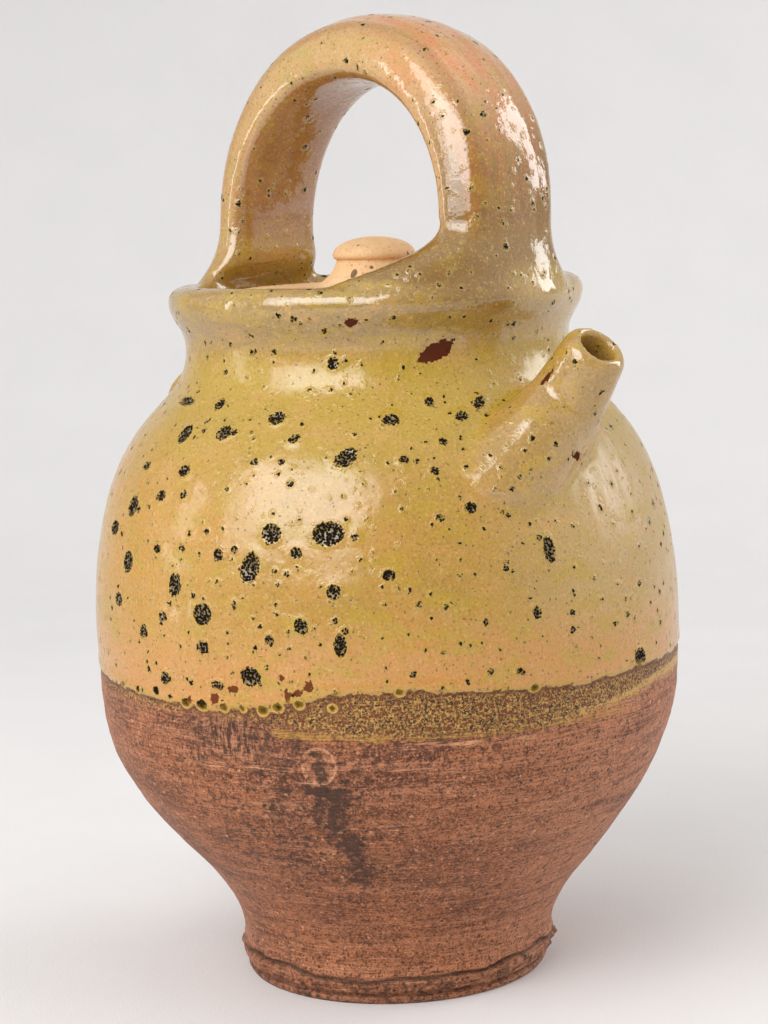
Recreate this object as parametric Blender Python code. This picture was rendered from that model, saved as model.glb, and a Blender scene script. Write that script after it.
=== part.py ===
"""A lidded country water jug: thrown body, basket handle, tube spout, rear ear, loose lid with a knob.

Lengths are written in millimetres and turned into metres by MM. +Z is up and +X points to the spout.
The origin is the centre of the foot's flat underside. The jug is turned about Z, and what is added
to it takes its place from the turned outline.
"""

import math

import bmesh
import bpy
from mathutils import Vector

MM = 0.001

# Facets and clearances
BODY_SIDES = 56
LID_SIDES = 36
STRAP_SIDES = 22
SPOUT_SIDES = 24
EAR_SIDES = 14
SEAT_GAP = 0.3 * MM
SHARED_POINT = 0.02 * MM
SHARP_ANGLE = math.radians(40)

# Foot: base ring, torn groove, bead of clay pushed out above it
FOOT_RADIUS = 45.6 * MM
FOOT_EDGE = 1.6 * MM
FOOT_GROOVE_HEIGHT = 3.2 * MM
FOOT_GROOVE_DEPTH = 0.9 * MM
FOOT_BEAD_RADIUS = 47.6 * MM
WAIST_RADIUS = 46.8 * MM
WAIST_HEIGHT = 10.0 * MM

# Belly and shoulder, with the fullness of each curve as a share of its height
BELLY_RADIUS = 87.0 * MM
BELLY_HEIGHT = 94.6 * MM
BELLY_RISE = 0.281
BELLY_FULLNESS = 0.531
SHOULDER_FULLNESS = 0.885
SHOULDER_HOLLOW = 0.258

# Neck, collar and rim
NECK_RADIUS = 56.1 * MM
NECK_HEIGHT = 188.0 * MM
COLLAR_HEIGHT = 17.5 * MM
COLLAR_FLARE = 0.38
RIM_RADIUS = 60.5 * MM
RIM_THICKNESS = 9.9 * MM
RIM_BULGE = 4.6 * MM
RIM_INNER_ROUND = 2.8 * MM
RIM_HEIGHT = NECK_HEIGHT + COLLAR_HEIGHT
RIM_BULGE_HEIGHT = RIM_HEIGHT - RIM_BULGE
COLLAR_INNER_RADIUS = RIM_RADIUS - RIM_THICKNESS

# Walls
WALL = 6.5 * MM
FLOOR = 8.0 * MM
FLOOR_FILLET = 12.0 * MM
FLOOR_FILLET_LEAD = 0.6
FLOOR_FILLET_FOLLOW = 0.7

# Lid, and the ledge inside the collar that carries it
LID_RADIUS = 40.5 * MM
LID_THICKNESS = 4.4 * MM
LID_SINK = 1.7 * MM
LID_EDGE = 1.2 * MM
LID_BEARING = 3.5 * MM
LID_RING_DEPTH = 5.0 * MM
LID_RING_WALL = 3.6 * MM
LID_RING_CLEARANCE = 0.9 * MM
LEDGE_NOSE = 4.2 * MM
LEDGE_FILLET = 3.2 * MM
LEDGE_FILLET_LIMIT = 0.95
LEDGE_UNDERCUT = 3.0 * MM
THROAT_DROP = 11.0 * MM
THROAT_STEP = 1.6 * MM
LID_TOP = RIM_HEIGHT - LID_SINK
LID_UNDER = LID_TOP - LID_THICKNESS
LEDGE_HEIGHT = LID_UNDER - SEAT_GAP
LEDGE_RADIUS = LID_RADIUS - LID_BEARING

# Knob
KNOB_CAP_RADIUS = 11.9 * MM
KNOB_CAP_DOME = 5.2 * MM
KNOB_CAP_EDGE = 1.3 * MM
KNOB_GROOVE = 0.65 * MM
KNOB_NECK_RADIUS = 9.2 * MM
KNOB_NECK_HEIGHT = 7.2 * MM
KNOB_FOOT_RADIUS = 15.0 * MM
KNOB_FOOT_FLARE = 0.35
KNOB_FOOT_LIFT = 0.15
KNOB_NECK_RUN = 0.5

# Basket handle: a strap with soft corners, straight legs and a round arch, leaning a little to +Y
STRAP_WIDTH = 34.5 * MM
STRAP_LEG_THICKNESS = 15.0 * MM
STRAP_TOP_THICKNESS = 18.6 * MM
STRAP_CORNER = 3.2
LEG_HEIGHT = 18.1 * MM
LEG_LID_CLEARANCE = 1.3 * MM
ARCH_RISE = 49.0 * MM
HANDLE_LEAN = math.radians(4.0)
LEAN_CENTRE = 22.5 * MM
ARCH_HALF_SPAN = LID_RADIUS + LEG_LID_CLEARANCE + STRAP_LEG_THICKNESS / 2
ARCH_CENTRE_HEIGHT = RIM_HEIGHT + LEG_HEIGHT

# Handle roots, smeared over the rim and down the collar; the spout's root has a long tail at -Y
ROOT_RISE = 17.0 * MM
ROOT_TUCK = 8.0 * MM
ROOT_SPREAD = 10.0 * MM
ROOT_TAIL = 31.0 * MM
ROOT_SMEAR = 2.8 * MM
ROOT_DROP = 16.0 * MM
ROOT_CURVE = 2.2
ROOT_CORNER = 2.0
ROOT_OVERLAP = 1.2 * MM
ROOT_NARROWING = 0.4

# Spout: its axis leaves the shoulder below the neck
SPOUT_SLOPE = math.radians(47.8)
SPOUT_DROP = 20.6 * MM
SPOUT_LENGTH = 27.4 * MM
SPOUT_BORE_RADIUS = 5.3 * MM
SPOUT_WALL = 3.4 * MM
SPOUT_TAPER = 3.3 * MM
SPOUT_LIP = 1.5 * MM
SPOUT_LIP_CORNER = 0.45 * MM
SPOUT_FLARE_LENGTH = 13.0 * MM
SPOUT_SIDE_FLARE = 10.0 * MM
SPOUT_TOP_FLARE = 5.0 * MM
SPOUT_FLARE_CURVE = 2.6
SPOUT_UNDER_FLARE = 1.2 * MM
SPOUT_ROOT_DEPTH = 6.0 * MM
BORE_OVERRUN = 5.0 * MM

# Rear ear: a small vertical strap loop on the shoulder
EAR_WIDTH = 24.0 * MM
EAR_THICKNESS = 8.0 * MM
EAR_CORNER = 2.6
EAR_DROP = 8.5 * MM
EAR_HEIGHT = 35.0 * MM
EAR_STAND = 18.0 * MM
EAR_ROOT_SPREAD = 4.0 * MM
EAR_ROOT_THICKENING = 1.6 * MM
EAR_ROOT_SHARE = 0.4
EAR_SAG = 0.25


def clear_scene():
    for item in list(bpy.data.objects):
        bpy.data.objects.remove(item, do_unlink=True)


def make_material(name, colour, roughness):
    material = bpy.data.materials.new(name)
    material.use_nodes = True
    shader = material.node_tree.nodes["Principled BSDF"]
    shader.inputs["Base Color"].default_value = (*colour, 1.0)
    shader.inputs["Roughness"].default_value = roughness
    shader.inputs["Metallic"].default_value = 0.0
    return material


def ochre_glaze():
    return make_material("ochre_glaze_on_red_clay", (0.60, 0.42, 0.16), 0.18)


def handle_glaze():
    return make_material("peach_ochre_glaze", (0.62, 0.38, 0.19), 0.18)


def spout_glaze():
    return make_material("pale_ochre_glaze", (0.60, 0.43, 0.22), 0.20)


def ear_glaze():
    return make_material("shoulder_ochre_glaze", (0.60, 0.41, 0.18), 0.20)


def lid_clay():
    return make_material("bare_pale_clay", (0.66, 0.43, 0.27), 0.80)


def knob_clay():
    return make_material("bare_pale_clay_knob", (0.68, 0.45, 0.28), 0.80)


def mix(start, end, share):
    return start + (end - start) * share


def clamp(share):
    return min(max(share, 0.0), 1.0)


def ease(share):
    share = clamp(share)
    return share * share * (3.0 - 2.0 * share)


def bezier(start, lead, follow, end, count):
    """Points of a cubic curve in (radius, height), both ends included."""
    points = []
    for i in range(count + 1):
        t = i / count
        u = 1.0 - t
        weights = (u * u * u, 3 * u * u * t, 3 * u * t * t, t * t * t)
        corners = (start, lead, follow, end)
        points.append(tuple(sum(w * c[k] for w, c in zip(weights, corners)) for k in range(2)))
    return points


def arc(centre, half_width, half_height, start, end, count):
    """Points of an elliptical arc in (radius, height) between two angles in degrees."""
    points = []
    for i in range(count + 1):
        angle = math.radians(mix(start, end, i / count))
        radius = centre[0] + half_width * math.cos(angle)
        points.append((radius, centre[1] + half_height * math.sin(angle)))
    return points


def join_lines(*lines):
    """One line from several, with a point that two of them share kept once."""
    whole = []
    for line in lines:
        for point in line:
            if not whole or math.dist(point, whole[-1]) > SHARED_POINT:
                whole.append(point)
    return whole


def offset_line(line, distance):
    """A line moved to its left by a distance, point by point along the mean normals."""
    moved = []
    for i, point in enumerate(line):
        before = line[max(i - 1, 0)]
        after = line[min(i + 1, len(line) - 1)]
        run = (after[0] - before[0], after[1] - before[1])
        length = math.hypot(*run)
        moved.append((point[0] - run[1] / length * distance, point[1] + run[0] / length * distance))
    return moved


def foot_line():
    """The foot from the edge of its flat underside up to the waist."""
    edge = arc((FOOT_RADIUS - FOOT_EDGE, FOOT_EDGE), FOOT_EDGE, FOOT_EDGE, -90, 0, 2)
    groove = (FOOT_RADIUS - FOOT_GROOVE_DEPTH, FOOT_GROOVE_HEIGHT)
    waist = (WAIST_RADIUS, WAIST_HEIGHT)
    # A cubic passes its middle at an eighth of its ends and six eighths of its handles
    bulge = (8 * FOOT_BEAD_RADIUS - groove[0] - waist[0]) / 6
    bead = bezier(groove, (bulge, FOOT_GROOVE_HEIGHT), (bulge, WAIST_HEIGHT), waist, 5)
    return join_lines(edge, bead)


def belly_line(lower_count=10, upper_count=12):
    """Waist to neck in two swelling curves."""
    lower = BELLY_HEIGHT - WAIST_HEIGHT
    upper = NECK_HEIGHT - BELLY_HEIGHT
    below = bezier(
        (WAIST_RADIUS, WAIST_HEIGHT),
        (WAIST_RADIUS, WAIST_HEIGHT + BELLY_RISE * lower),
        (BELLY_RADIUS, BELLY_HEIGHT - BELLY_FULLNESS * lower),
        (BELLY_RADIUS, BELLY_HEIGHT),
        lower_count,
    )
    above = bezier(
        (BELLY_RADIUS, BELLY_HEIGHT),
        (BELLY_RADIUS, BELLY_HEIGHT + SHOULDER_FULLNESS * upper),
        (NECK_RADIUS, NECK_HEIGHT - SHOULDER_HOLLOW * upper),
        (NECK_RADIUS, NECK_HEIGHT),
        upper_count,
    )
    return join_lines(below, above)


def collar_line():
    """Neck up to the rim's widest ring."""
    rise = RIM_BULGE_HEIGHT - NECK_HEIGHT
    return bezier(
        (NECK_RADIUS, NECK_HEIGHT),
        (NECK_RADIUS, NECK_HEIGHT + COLLAR_FLARE * rise),
        (RIM_RADIUS, RIM_BULGE_HEIGHT - COLLAR_FLARE * rise),
        (RIM_RADIUS, RIM_BULGE_HEIGHT),
        5,
    )


def rim_line():
    """Over the rim's crest, from its widest ring outside to the collar's inner wall."""
    crest = (RIM_RADIUS + COLLAR_INNER_RADIUS) / 2
    outside = arc((crest, RIM_BULGE_HEIGHT), RIM_RADIUS - crest, RIM_BULGE, 0, 90, 4)
    inner_height = RIM_HEIGHT - RIM_INNER_ROUND
    inside = arc((crest, inner_height), crest - COLLAR_INNER_RADIUS, RIM_INNER_ROUND, 90, 180, 3)
    return join_lines(outside, inside)


def ledge_line():
    """The lid's ledge, from the collar's inner wall in to the nose and back under to the throat's wall."""
    wall_height = RIM_HEIGHT - RIM_INNER_ROUND - LEDGE_HEIGHT
    fillet = min(LEDGE_FILLET, LEDGE_FILLET_LIMIT * wall_height)
    hollow = arc((COLLAR_INNER_RADIUS - fillet, LEDGE_HEIGHT + fillet), fillet, fillet, 0, -90, 3)
    half = LEDGE_NOSE / 2
    nose = arc((LEDGE_RADIUS + half, LEDGE_HEIGHT - half), half, half, 90, 270, 4)
    throat = (NECK_RADIUS - WALL, LEDGE_HEIGHT - LEDGE_NOSE - THROAT_DROP)
    lead = ((nose[-1][0] + throat[0]) / 2, nose[-1][1])
    follow = (throat[0], throat[1] + LEDGE_UNDERCUT)
    return join_lines(hollow, nose, bezier(nose[-1], lead, follow, throat, 3))


def inner_belly_line():
    """The inside of the belly, one wall in from the outside, down to the floor's centre."""
    throat_height = LEDGE_HEIGHT - LEDGE_NOSE - THROAT_DROP
    whole = offset_line(belly_line(7, 9), WALL)
    wall = [p for p in whole if FLOOR + FLOOR_FILLET < p[1] < throat_height - THROAT_STEP]
    wall.reverse()
    low = wall[-1]
    slope = (low[0] - wall[-2][0], low[1] - wall[-2][1])
    reach = (low[1] - FLOOR) * FLOOR_FILLET_LEAD / abs(slope[1])
    lead = (low[0] + slope[0] * reach, low[1] + slope[1] * reach)
    floor_edge = (low[0] - FLOOR_FILLET, FLOOR)
    follow = (low[0] - FLOOR_FILLET_FOLLOW * FLOOR_FILLET, FLOOR)
    fillet = bezier(low, lead, follow, floor_edge, 3)
    return join_lines(wall, fillet, [(0.0, FLOOR)])


def outer_line():
    return join_lines([(0.0, 0.0)], foot_line(), belly_line(), collar_line())


def outer_radius_at(height):
    """Radius of the outside at a height between the foot and the rim's widest ring."""
    line = outer_line()
    for low, high in zip(line, line[1:]):
        if low[1] <= height <= high[1] and high[1] > low[1]:
            return mix(low[0], high[0], (height - low[1]) / (high[1] - low[1]))
    return RIM_RADIUS


def link(name, mesh):
    body = bpy.data.objects.new(name, mesh)
    bpy.context.scene.collection.objects.link(body)
    return body


def finish(name, bm, material=None):
    bmesh.ops.recalc_face_normals(bm, faces=bm.faces)
    mesh = bpy.data.meshes.new(name)
    bm.to_mesh(mesh)
    bm.free()
    if material:
        mesh.materials.append(material)
        mesh.shade_smooth()
        mesh.set_sharp_from_angle(angle=SHARP_ANGLE)
    return link(name, mesh)


def circle(bm, radius, height, count):
    """One ring of vertices about Z, or a single one on the axis."""
    if radius < SHARED_POINT:
        return [bm.verts.new((0.0, 0.0, height))]
    angles = [2 * math.pi * k / count for k in range(count)]
    return [bm.verts.new((radius * math.cos(a), radius * math.sin(a), height)) for a in angles]


def skin_between(bm, low, high, count):
    """Faces between two rings, either of which may be a single point."""
    for k in range(count):
        after = (k + 1) % count
        corners = [low[k % len(low)], low[after % len(low)]]
        corners += [high[after % len(high)], high[k % len(high)]]
        bm.faces.new(list(dict.fromkeys(corners)))


def turn(name, line, count, material=None):
    """A solid turned about Z from a line in (radius, height) that starts and ends on the axis."""
    bm = bmesh.new()
    rings = [circle(bm, radius, height, count) for radius, height in line]
    for low, high in zip(rings, rings[1:]):
        skin_between(bm, low, high, count)
    return finish(name, bm, material)


def turn_ring(name, line, count):
    """A ring turned about Z from a closed line in (radius, height)."""
    bm = bmesh.new()
    rings = [circle(bm, radius, height, count) for radius, height in line]
    for low, high in zip(rings, rings[1:] + rings[:1]):
        skin_between(bm, low, high, count)
    return finish(name, bm)


def loft(name, rings, material=None):
    """A closed solid through rings of points, with flat ends."""
    bm = bmesh.new()
    loops = [[bm.verts.new(point) for point in ring] for ring in rings]
    for low, high in zip(loops, loops[1:]):
        skin_between(bm, low, high, len(low))
    bm.faces.new(loops[0])
    bm.faces.new(loops[-1])
    return finish(name, bm, material)


def cut(solid, cutter):
    """Takes the cutter's space away from the solid."""
    modifier = solid.modifiers.new("cut_" + cutter.name, "BOOLEAN")
    modifier.operation = "DIFFERENCE"
    modifier.solver = "EXACT"
    modifier.object = cutter
    cutter.hide_render = True
    cutter.display_type = "WIRE"


def make_body():
    line = join_lines(outer_line(), rim_line(), ledge_line(), inner_belly_line())
    body = turn("jug_body", line, BODY_SIDES, ochre_glaze())
    cut(body, make_bore("spout_hole"))
    return body


def make_outside_cutter():
    """The body's outside as a full solid, one seat gap larger, up to the rim's widest ring."""
    grown = offset_line(join_lines(foot_line(), belly_line(), collar_line()), -SEAT_GAP)
    line = join_lines([(0.0, 0.0)], grown, [(0.0, grown[-1][1])])
    return turn("outside_cutter", line, BODY_SIDES)


def make_rim_cutter():
    """The collar, its rim and the top of the neck as a closed ring, one seat gap larger all round."""
    lowest = RIM_HEIGHT - ROOT_DROP - WALL
    outside = [p for p in belly_line() if p[1] > lowest]
    line = join_lines(outside, collar_line(), rim_line(), ledge_line())
    return turn_ring("rim_cutter", offset_line(line, -SEAT_GAP), BODY_SIDES)


def superellipse(count, corner):
    """Directions round a soft-cornered rectangle of half-size 1 by 1."""
    points = []
    for k in range(count):
        angle = 2 * math.pi * (k + 0.5) / count
        x = math.copysign(abs(math.cos(angle)) ** (2 / corner), math.cos(angle))
        y = math.copysign(abs(math.sin(angle)) ** (2 / corner), math.sin(angle))
        points.append((x, y))
    return points


def lean_at(height):
    """How far the handle leans to +Y at a height."""
    return math.tan(HANDLE_LEAN) * (height - RIM_HEIGHT - LEAN_CENTRE)


def root_share(height, rise):
    """0 at a rise above the rim, growing to 1 at the rim's widest ring and below it."""
    return clamp(1 - (height - RIM_BULGE_HEIGHT) / (rise + RIM_BULGE))


def leg_section(height):
    """Inner reach, outer reach, root share and fade of a handle leg at a height."""
    root = root_share(height, ROOT_RISE) ** ROOT_CURVE
    tuck = ease(root_share(height, ROOT_TUCK))
    fade = ease((RIM_BULGE_HEIGHT - height) / (ROOT_DROP - RIM_BULGE))
    outside = outer_radius_at(min(height, RIM_BULGE_HEIGHT))
    # A root starts just inside the wall of the collar and of the neck, and no deeper than its middle
    inside = max(COLLAR_INNER_RADIUS, NECK_RADIUS - WALL) + ROOT_OVERLAP / 2
    tucked = min(inside, outside - WALL / 2)
    proud = mix(ROOT_SMEAR, -ROOT_OVERLAP, fade)
    inner = mix(ARCH_HALF_SPAN - STRAP_LEG_THICKNESS / 2, tucked, tuck)
    outer = mix(ARCH_HALF_SPAN + STRAP_LEG_THICKNESS / 2, outside + proud, root)
    return inner, outer, root, fade


def leg_ring(side, height):
    """One ring of a leg, on the +X side or the -X side, bent round the rim at its root."""
    inner, outer, root, fade = leg_section(height)
    ring = []
    for x, y in superellipse(STRAP_SIDES, mix(STRAP_CORNER, ROOT_CORNER, root)):
        tail = side > 0 and y < 0
        spread = (ROOT_TAIL if tail else ROOT_SPREAD) * root * (1 - ROOT_NARROWING * fade)
        across = side * y * (STRAP_WIDTH / 2 + spread) + lean_at(height)
        radius = mix(inner, outer, (x + 1) / 2)
        round_rim = math.sqrt(max(radius * radius - across * across, 0.0))
        along = mix(radius, round_rim, root)
        ring.append(Vector((side * along, across, height)))
    return ring


def arch_ring(angle):
    """One ring of the arch at an angle from +X over the top to -X."""
    rise = math.sin(angle)
    thickness = mix(STRAP_LEG_THICKNESS, STRAP_TOP_THICKNESS, rise)
    reach = ARCH_HALF_SPAN * math.cos(angle)
    middle = ARCH_CENTRE_HEIGHT + ARCH_RISE * rise
    ring = []
    for x, y in superellipse(STRAP_SIDES, STRAP_CORNER):
        out = x * thickness / 2
        height = middle + out * rise
        across = y * STRAP_WIDTH / 2 + lean_at(height)
        ring.append(Vector((reach + out * math.cos(angle), across, height)))
    return ring


def mirror_order(ring):
    """The far leg's ring, with its points in the order that the arch ends with."""
    count = len(ring)
    return [ring[(-k - 1) % count] for k in range(count)]


def make_basket_handle():
    leg_steps = 12
    arch_steps = 20
    bottom = RIM_HEIGHT - ROOT_DROP
    heights = [mix(bottom, ARCH_CENTRE_HEIGHT, i / leg_steps) for i in range(leg_steps)]
    rings = [leg_ring(1, height) for height in heights]
    rings += [arch_ring(math.pi * i / arch_steps) for i in range(arch_steps + 1)]
    rings += [mirror_order(leg_ring(-1, height)) for height in reversed(heights)]
    handle = loft("basket_handle", rings, handle_glaze())
    cut(handle, make_rim_cutter())
    return handle


def spout_point(distance):
    """A point on the spout's axis, a distance out from the shoulder's skin."""
    height = NECK_HEIGHT - SPOUT_DROP
    root = Vector((outer_radius_at(height), 0.0, height))
    return root + spout_axis() * distance


def spout_axis():
    return Vector((math.cos(SPOUT_SLOPE), 0.0, math.sin(SPOUT_SLOPE)))


def spout_ring(distance, radius, near=0.0):
    """One ring of the spout, flared as it nears the shoulder: most at its sides, least underneath."""
    side = Vector((0.0, 1.0, 0.0))
    up = spout_axis().cross(side) * -1
    ring = []
    for k in range(SPOUT_SIDES):
        angle = 2 * math.pi * k / SPOUT_SIDES
        across = math.cos(angle)
        above = math.sin(angle)
        vertical = SPOUT_TOP_FLARE if above > 0 else SPOUT_UNDER_FLARE
        flare = near * (SPOUT_SIDE_FLARE * across * across + vertical * above * above)
        ring.append(spout_point(distance) + (side * across + up * above) * (radius + flare))
    return ring


def make_bore(name):
    """The bore as a rod, from outside the mouth through the body's wall."""
    inside = -(SPOUT_ROOT_DEPTH + WALL + BORE_OVERRUN)
    stations = [SPOUT_LENGTH + BORE_OVERRUN, inside]
    return loft(name, [spout_ring(distance, SPOUT_BORE_RADIUS) for distance in stations])


def make_spout():
    mouth = SPOUT_BORE_RADIUS + SPOUT_WALL
    rings = [spout_ring(SPOUT_LENGTH, mouth - SPOUT_LIP)]
    rings.append(spout_ring(SPOUT_LENGTH - SPOUT_LIP_CORNER, mouth - SPOUT_LIP_CORNER))
    steps = 12
    for i in range(steps + 1):
        distance = mix(SPOUT_LENGTH - SPOUT_LIP, -SPOUT_ROOT_DEPTH, i / steps)
        radius = mix(mouth + SPOUT_TAPER, mouth, clamp(distance / SPOUT_LENGTH))
        near = clamp(1 - distance / SPOUT_FLARE_LENGTH)
        rings.append(spout_ring(distance, radius, near ** SPOUT_FLARE_CURVE))
    spout = loft("spout", rings, spout_glaze())
    cut(spout, make_outside_cutter())
    cut(spout, make_bore("spout_bore"))
    return spout


def ear_path():
    """The ear's middle line in (reach, height), from its upper root to its lower root."""
    half = EAR_THICKNESS / 2
    top_height = NECK_HEIGHT - EAR_DROP
    foot_height = top_height - EAR_HEIGHT
    top = (outer_radius_at(top_height) - half, top_height)
    foot = (outer_radius_at(foot_height) - half, foot_height)
    middle = (top_height + foot_height) / 2
    reach = outer_radius_at(middle) + EAR_STAND - half
    # A cubic passes its middle at an eighth of its ends and six eighths of its handles
    bulge = (8 * reach - top[0] - foot[0]) / 6
    follow = (bulge, mix(foot_height, top_height, EAR_SAG))
    return bezier(top, (bulge, top_height), follow, foot, 16)


def make_rear_ear():
    path = ear_path()
    rings = []
    for i, point in enumerate(path):
        before = path[max(i - 1, 0)]
        after = path[min(i + 1, len(path) - 1)]
        run = Vector((after[0] - before[0], 0.0, after[1] - before[1])).normalized()
        out = Vector((-run.z, 0.0, run.x))
        from_middle = abs(2 * i / (len(path) - 1) - 1)
        root = ease((from_middle - 1 + EAR_ROOT_SHARE) / EAR_ROOT_SHARE)
        half_width = EAR_WIDTH / 2 + EAR_ROOT_SPREAD * root
        half_thick = EAR_THICKNESS / 2 + EAR_ROOT_THICKENING * root
        ring = []
        for x, y in superellipse(EAR_SIDES, EAR_CORNER):
            place = Vector((point[0], y * half_width, point[1])) + out * x * half_thick
            ring.append(Vector((-place.x, place.y, place.z)))
        rings.append(ring)
    ear = loft("rear_ear", rings, ear_glaze())
    cut(ear, bpy.data.objects["outside_cutter"])
    return ear


def lid_line():
    """Half the lid's section: underside, the ring that drops into the throat, seat, edge and top."""
    ring_outer = LEDGE_RADIUS - LID_RING_CLEARANCE
    ring_inner = ring_outer - LID_RING_WALL
    half = LID_RING_WALL / 2
    ring_end = arc((ring_inner + half, LID_UNDER - LID_RING_DEPTH + half), half, half, 180, 360, 6)
    corner = LID_RADIUS - LID_EDGE
    edge_low = arc((corner, LID_UNDER + LID_EDGE), LID_EDGE, LID_EDGE, -90, 0, 3)
    edge_high = arc((corner, LID_TOP - LID_EDGE), LID_EDGE, LID_EDGE, 0, 90, 3)
    under = [(0.0, LID_UNDER), (ring_inner, LID_UNDER)]
    seat = [(ring_outer, LID_UNDER)]
    return join_lines(under, ring_end, seat, edge_low, edge_high, [(0.0, LID_TOP)])


def knob_line():
    """Half the knob's section: flared foot, neck, thin overhanging cap and its dome."""
    foot = LID_TOP + SEAT_GAP
    neck = (KNOB_NECK_RADIUS, foot + KNOB_NECK_HEIGHT)
    lead_radius = mix(KNOB_NECK_RADIUS, KNOB_FOOT_RADIUS, KNOB_FOOT_FLARE)
    lead = (lead_radius, foot + KNOB_FOOT_LIFT * KNOB_NECK_HEIGHT)
    follow = (KNOB_NECK_RADIUS, foot + KNOB_NECK_RUN * KNOB_NECK_HEIGHT)
    flare = bezier((KNOB_FOOT_RADIUS, foot), lead, follow, neck, 6)
    edge_centre = (KNOB_CAP_RADIUS - KNOB_CAP_EDGE, neck[1] + KNOB_GROOVE + KNOB_CAP_EDGE)
    edge = arc(edge_centre, KNOB_CAP_EDGE, KNOB_CAP_EDGE, -90, 20, 4)
    dome = arc((0.0, edge_centre[1]), edge[-1][0], KNOB_CAP_DOME, 16, 90, 7)
    top = (0.0, edge_centre[1] + KNOB_CAP_DOME)
    return join_lines([(0.0, foot)], flare, edge, dome[:-1], [top])


def main():
    clear_scene()
    make_body()
    make_basket_handle()
    make_spout()
    make_rear_ear()
    turn("lid", lid_line(), LID_SIDES, lid_clay())
    turn("lid_knob", knob_line(), LID_SIDES, knob_clay())


main()
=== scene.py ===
"""A lidded country water jug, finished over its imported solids: ochre glaze over red clay, and a bare lid.

Lengths are in metres, written in millimetres times MM. +Z is up, +X points to the spout and the origin is the
centre of the foot's underside, as in the solids. A place on the jug's skin is a bearing in degrees, from +X
towards +Y, and a height in millimetres.
"""

import math
from contextlib import contextmanager

import bpy
import numpy as np
from bpy.props import FloatProperty, FloatVectorProperty, PointerProperty
from mathutils import Matrix, Vector
from mathutils.bvhtree import BVHTree


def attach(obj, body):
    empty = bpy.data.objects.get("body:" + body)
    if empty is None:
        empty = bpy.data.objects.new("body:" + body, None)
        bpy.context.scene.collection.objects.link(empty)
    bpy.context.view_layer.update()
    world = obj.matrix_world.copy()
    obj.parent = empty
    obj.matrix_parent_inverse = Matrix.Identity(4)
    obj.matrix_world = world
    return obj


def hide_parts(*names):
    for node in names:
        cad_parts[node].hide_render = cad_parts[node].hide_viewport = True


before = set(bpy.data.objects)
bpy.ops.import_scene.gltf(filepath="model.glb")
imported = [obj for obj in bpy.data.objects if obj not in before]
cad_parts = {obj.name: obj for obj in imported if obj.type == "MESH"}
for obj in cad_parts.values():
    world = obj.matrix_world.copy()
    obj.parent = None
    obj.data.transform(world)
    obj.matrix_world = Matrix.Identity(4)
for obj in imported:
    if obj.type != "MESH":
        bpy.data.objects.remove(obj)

bl_info = {
    "name": "Lidded water jug",
    "version": (1, 0, 0),
    "blender": (4, 5, 0),
    "location": "3D View > Sidebar > Jug",
    "description": "Throws, handles, glazes and lights a lidded country water jug",
    "category": "Add Mesh",
}

MM = 0.001
SHARED_POINT = 0.001 * MM
UP = Vector((0.0, 0.0, 1.0))

# The jug is made in two pieces that meet at this height, below the spout and the ear
SPLIT_HEIGHT = 138 * MM
SPLIT_LAP = 6 * MM

# Mesh density
CUP_STEPS = 400
TOP_STEPS = 240
LID_STEPS = 220
RING_STEP = 1.2 * MM
FINE_STEP = 0.7 * MM
FOOT_STEP = 0.5 * MM
LID_STEP = 0.6 * MM
INNER_STEP = 3.2 * MM
BLANK_STEP = 1.5 * MM
VOXEL = 1.2 * MM
CURVE_POINTS = 160

# Heights where the cup's rings lie closer, how near the outline its skin is and the height it begins at, and
# the angle over which an edge stays sharp
FOOT_TOP = 12 * MM
GLAZE_EDGE = (84 * MM, 104 * MM)
SKIN_DEPTH = 0.5 * MM
FLAT_HEIGHT = 0.3 * MM
CREASE = math.radians(50)

# Lengths and shares that shape the outline between its driving sizes
FOOT_EDGE = 1.6 * MM
FOOT_GROOVE_HEIGHT = 3.2 * MM
FOOT_GROOVE_DEPTH = 0.9 * MM
FOOT_BEAD_RADIUS = 47.4 * MM
BELLY_RISE = 0.281
BELLY_FULLNESS = 0.531
SHOULDER_FULLNESS = 0.885
SHOULDER_HOLLOW = 0.258
COLLAR_FLARE = 0.38
RIM_BULGE = 4.6 * MM
RIM_INNER_ROUND = 2.8 * MM
FLOOR_FILLET = 12 * MM
FLOOR_LEAD = 0.6
FLOOR_FOLLOW = 0.7

# Lid seat
SEAT_GAP = 0.3 * MM
LEDGE_NOSE = 4.2 * MM
LEDGE_FILLET = 3.2 * MM
LEDGE_UNDERCUT = 3.0 * MM
LID_BEARING = 3.5 * MM
THROAT_DROP = 11 * MM
THROAT_STEP = 1.6 * MM

# Handle: the strap's section and legs, then its roots and the tail of the root near the spout
STRAP_CORNER = 2.9
STRAP_SLANT = 0.32
REAR_SLANT_SHARE = 0.35
SPOUT_LEG_EXTRA = 3.0 * MM
SPOUT_STRAP_EXTRA = 4.0 * MM
HANDLE_TWIST = 1.5 * MM
FLUTE_DEPTH = 0.06
FLUTE_PLACE = (0.62, 0.16)
LEG_LID_CLEARANCE = 1.3 * MM
LEAN_CENTRE = 22.5 * MM
ROOT_RISE = 17 * MM
ROOT_TUCK = 8 * MM
ROOT_SPREAD = 10 * MM
ROOT_TAIL = 31 * MM
TAIL_RISE = 20 * MM
TAIL_WRAP = 1.25
TAIL_CORNER = 2.5
ROOT_SMEAR = 2.8 * MM
ROOT_DROP = 16 * MM
ROOT_CURVE = 2.2
ROOT_CORNER = 2.0
ROOT_OVERLAP = 1.2 * MM
ROOT_NARROWING = 0.4

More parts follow.
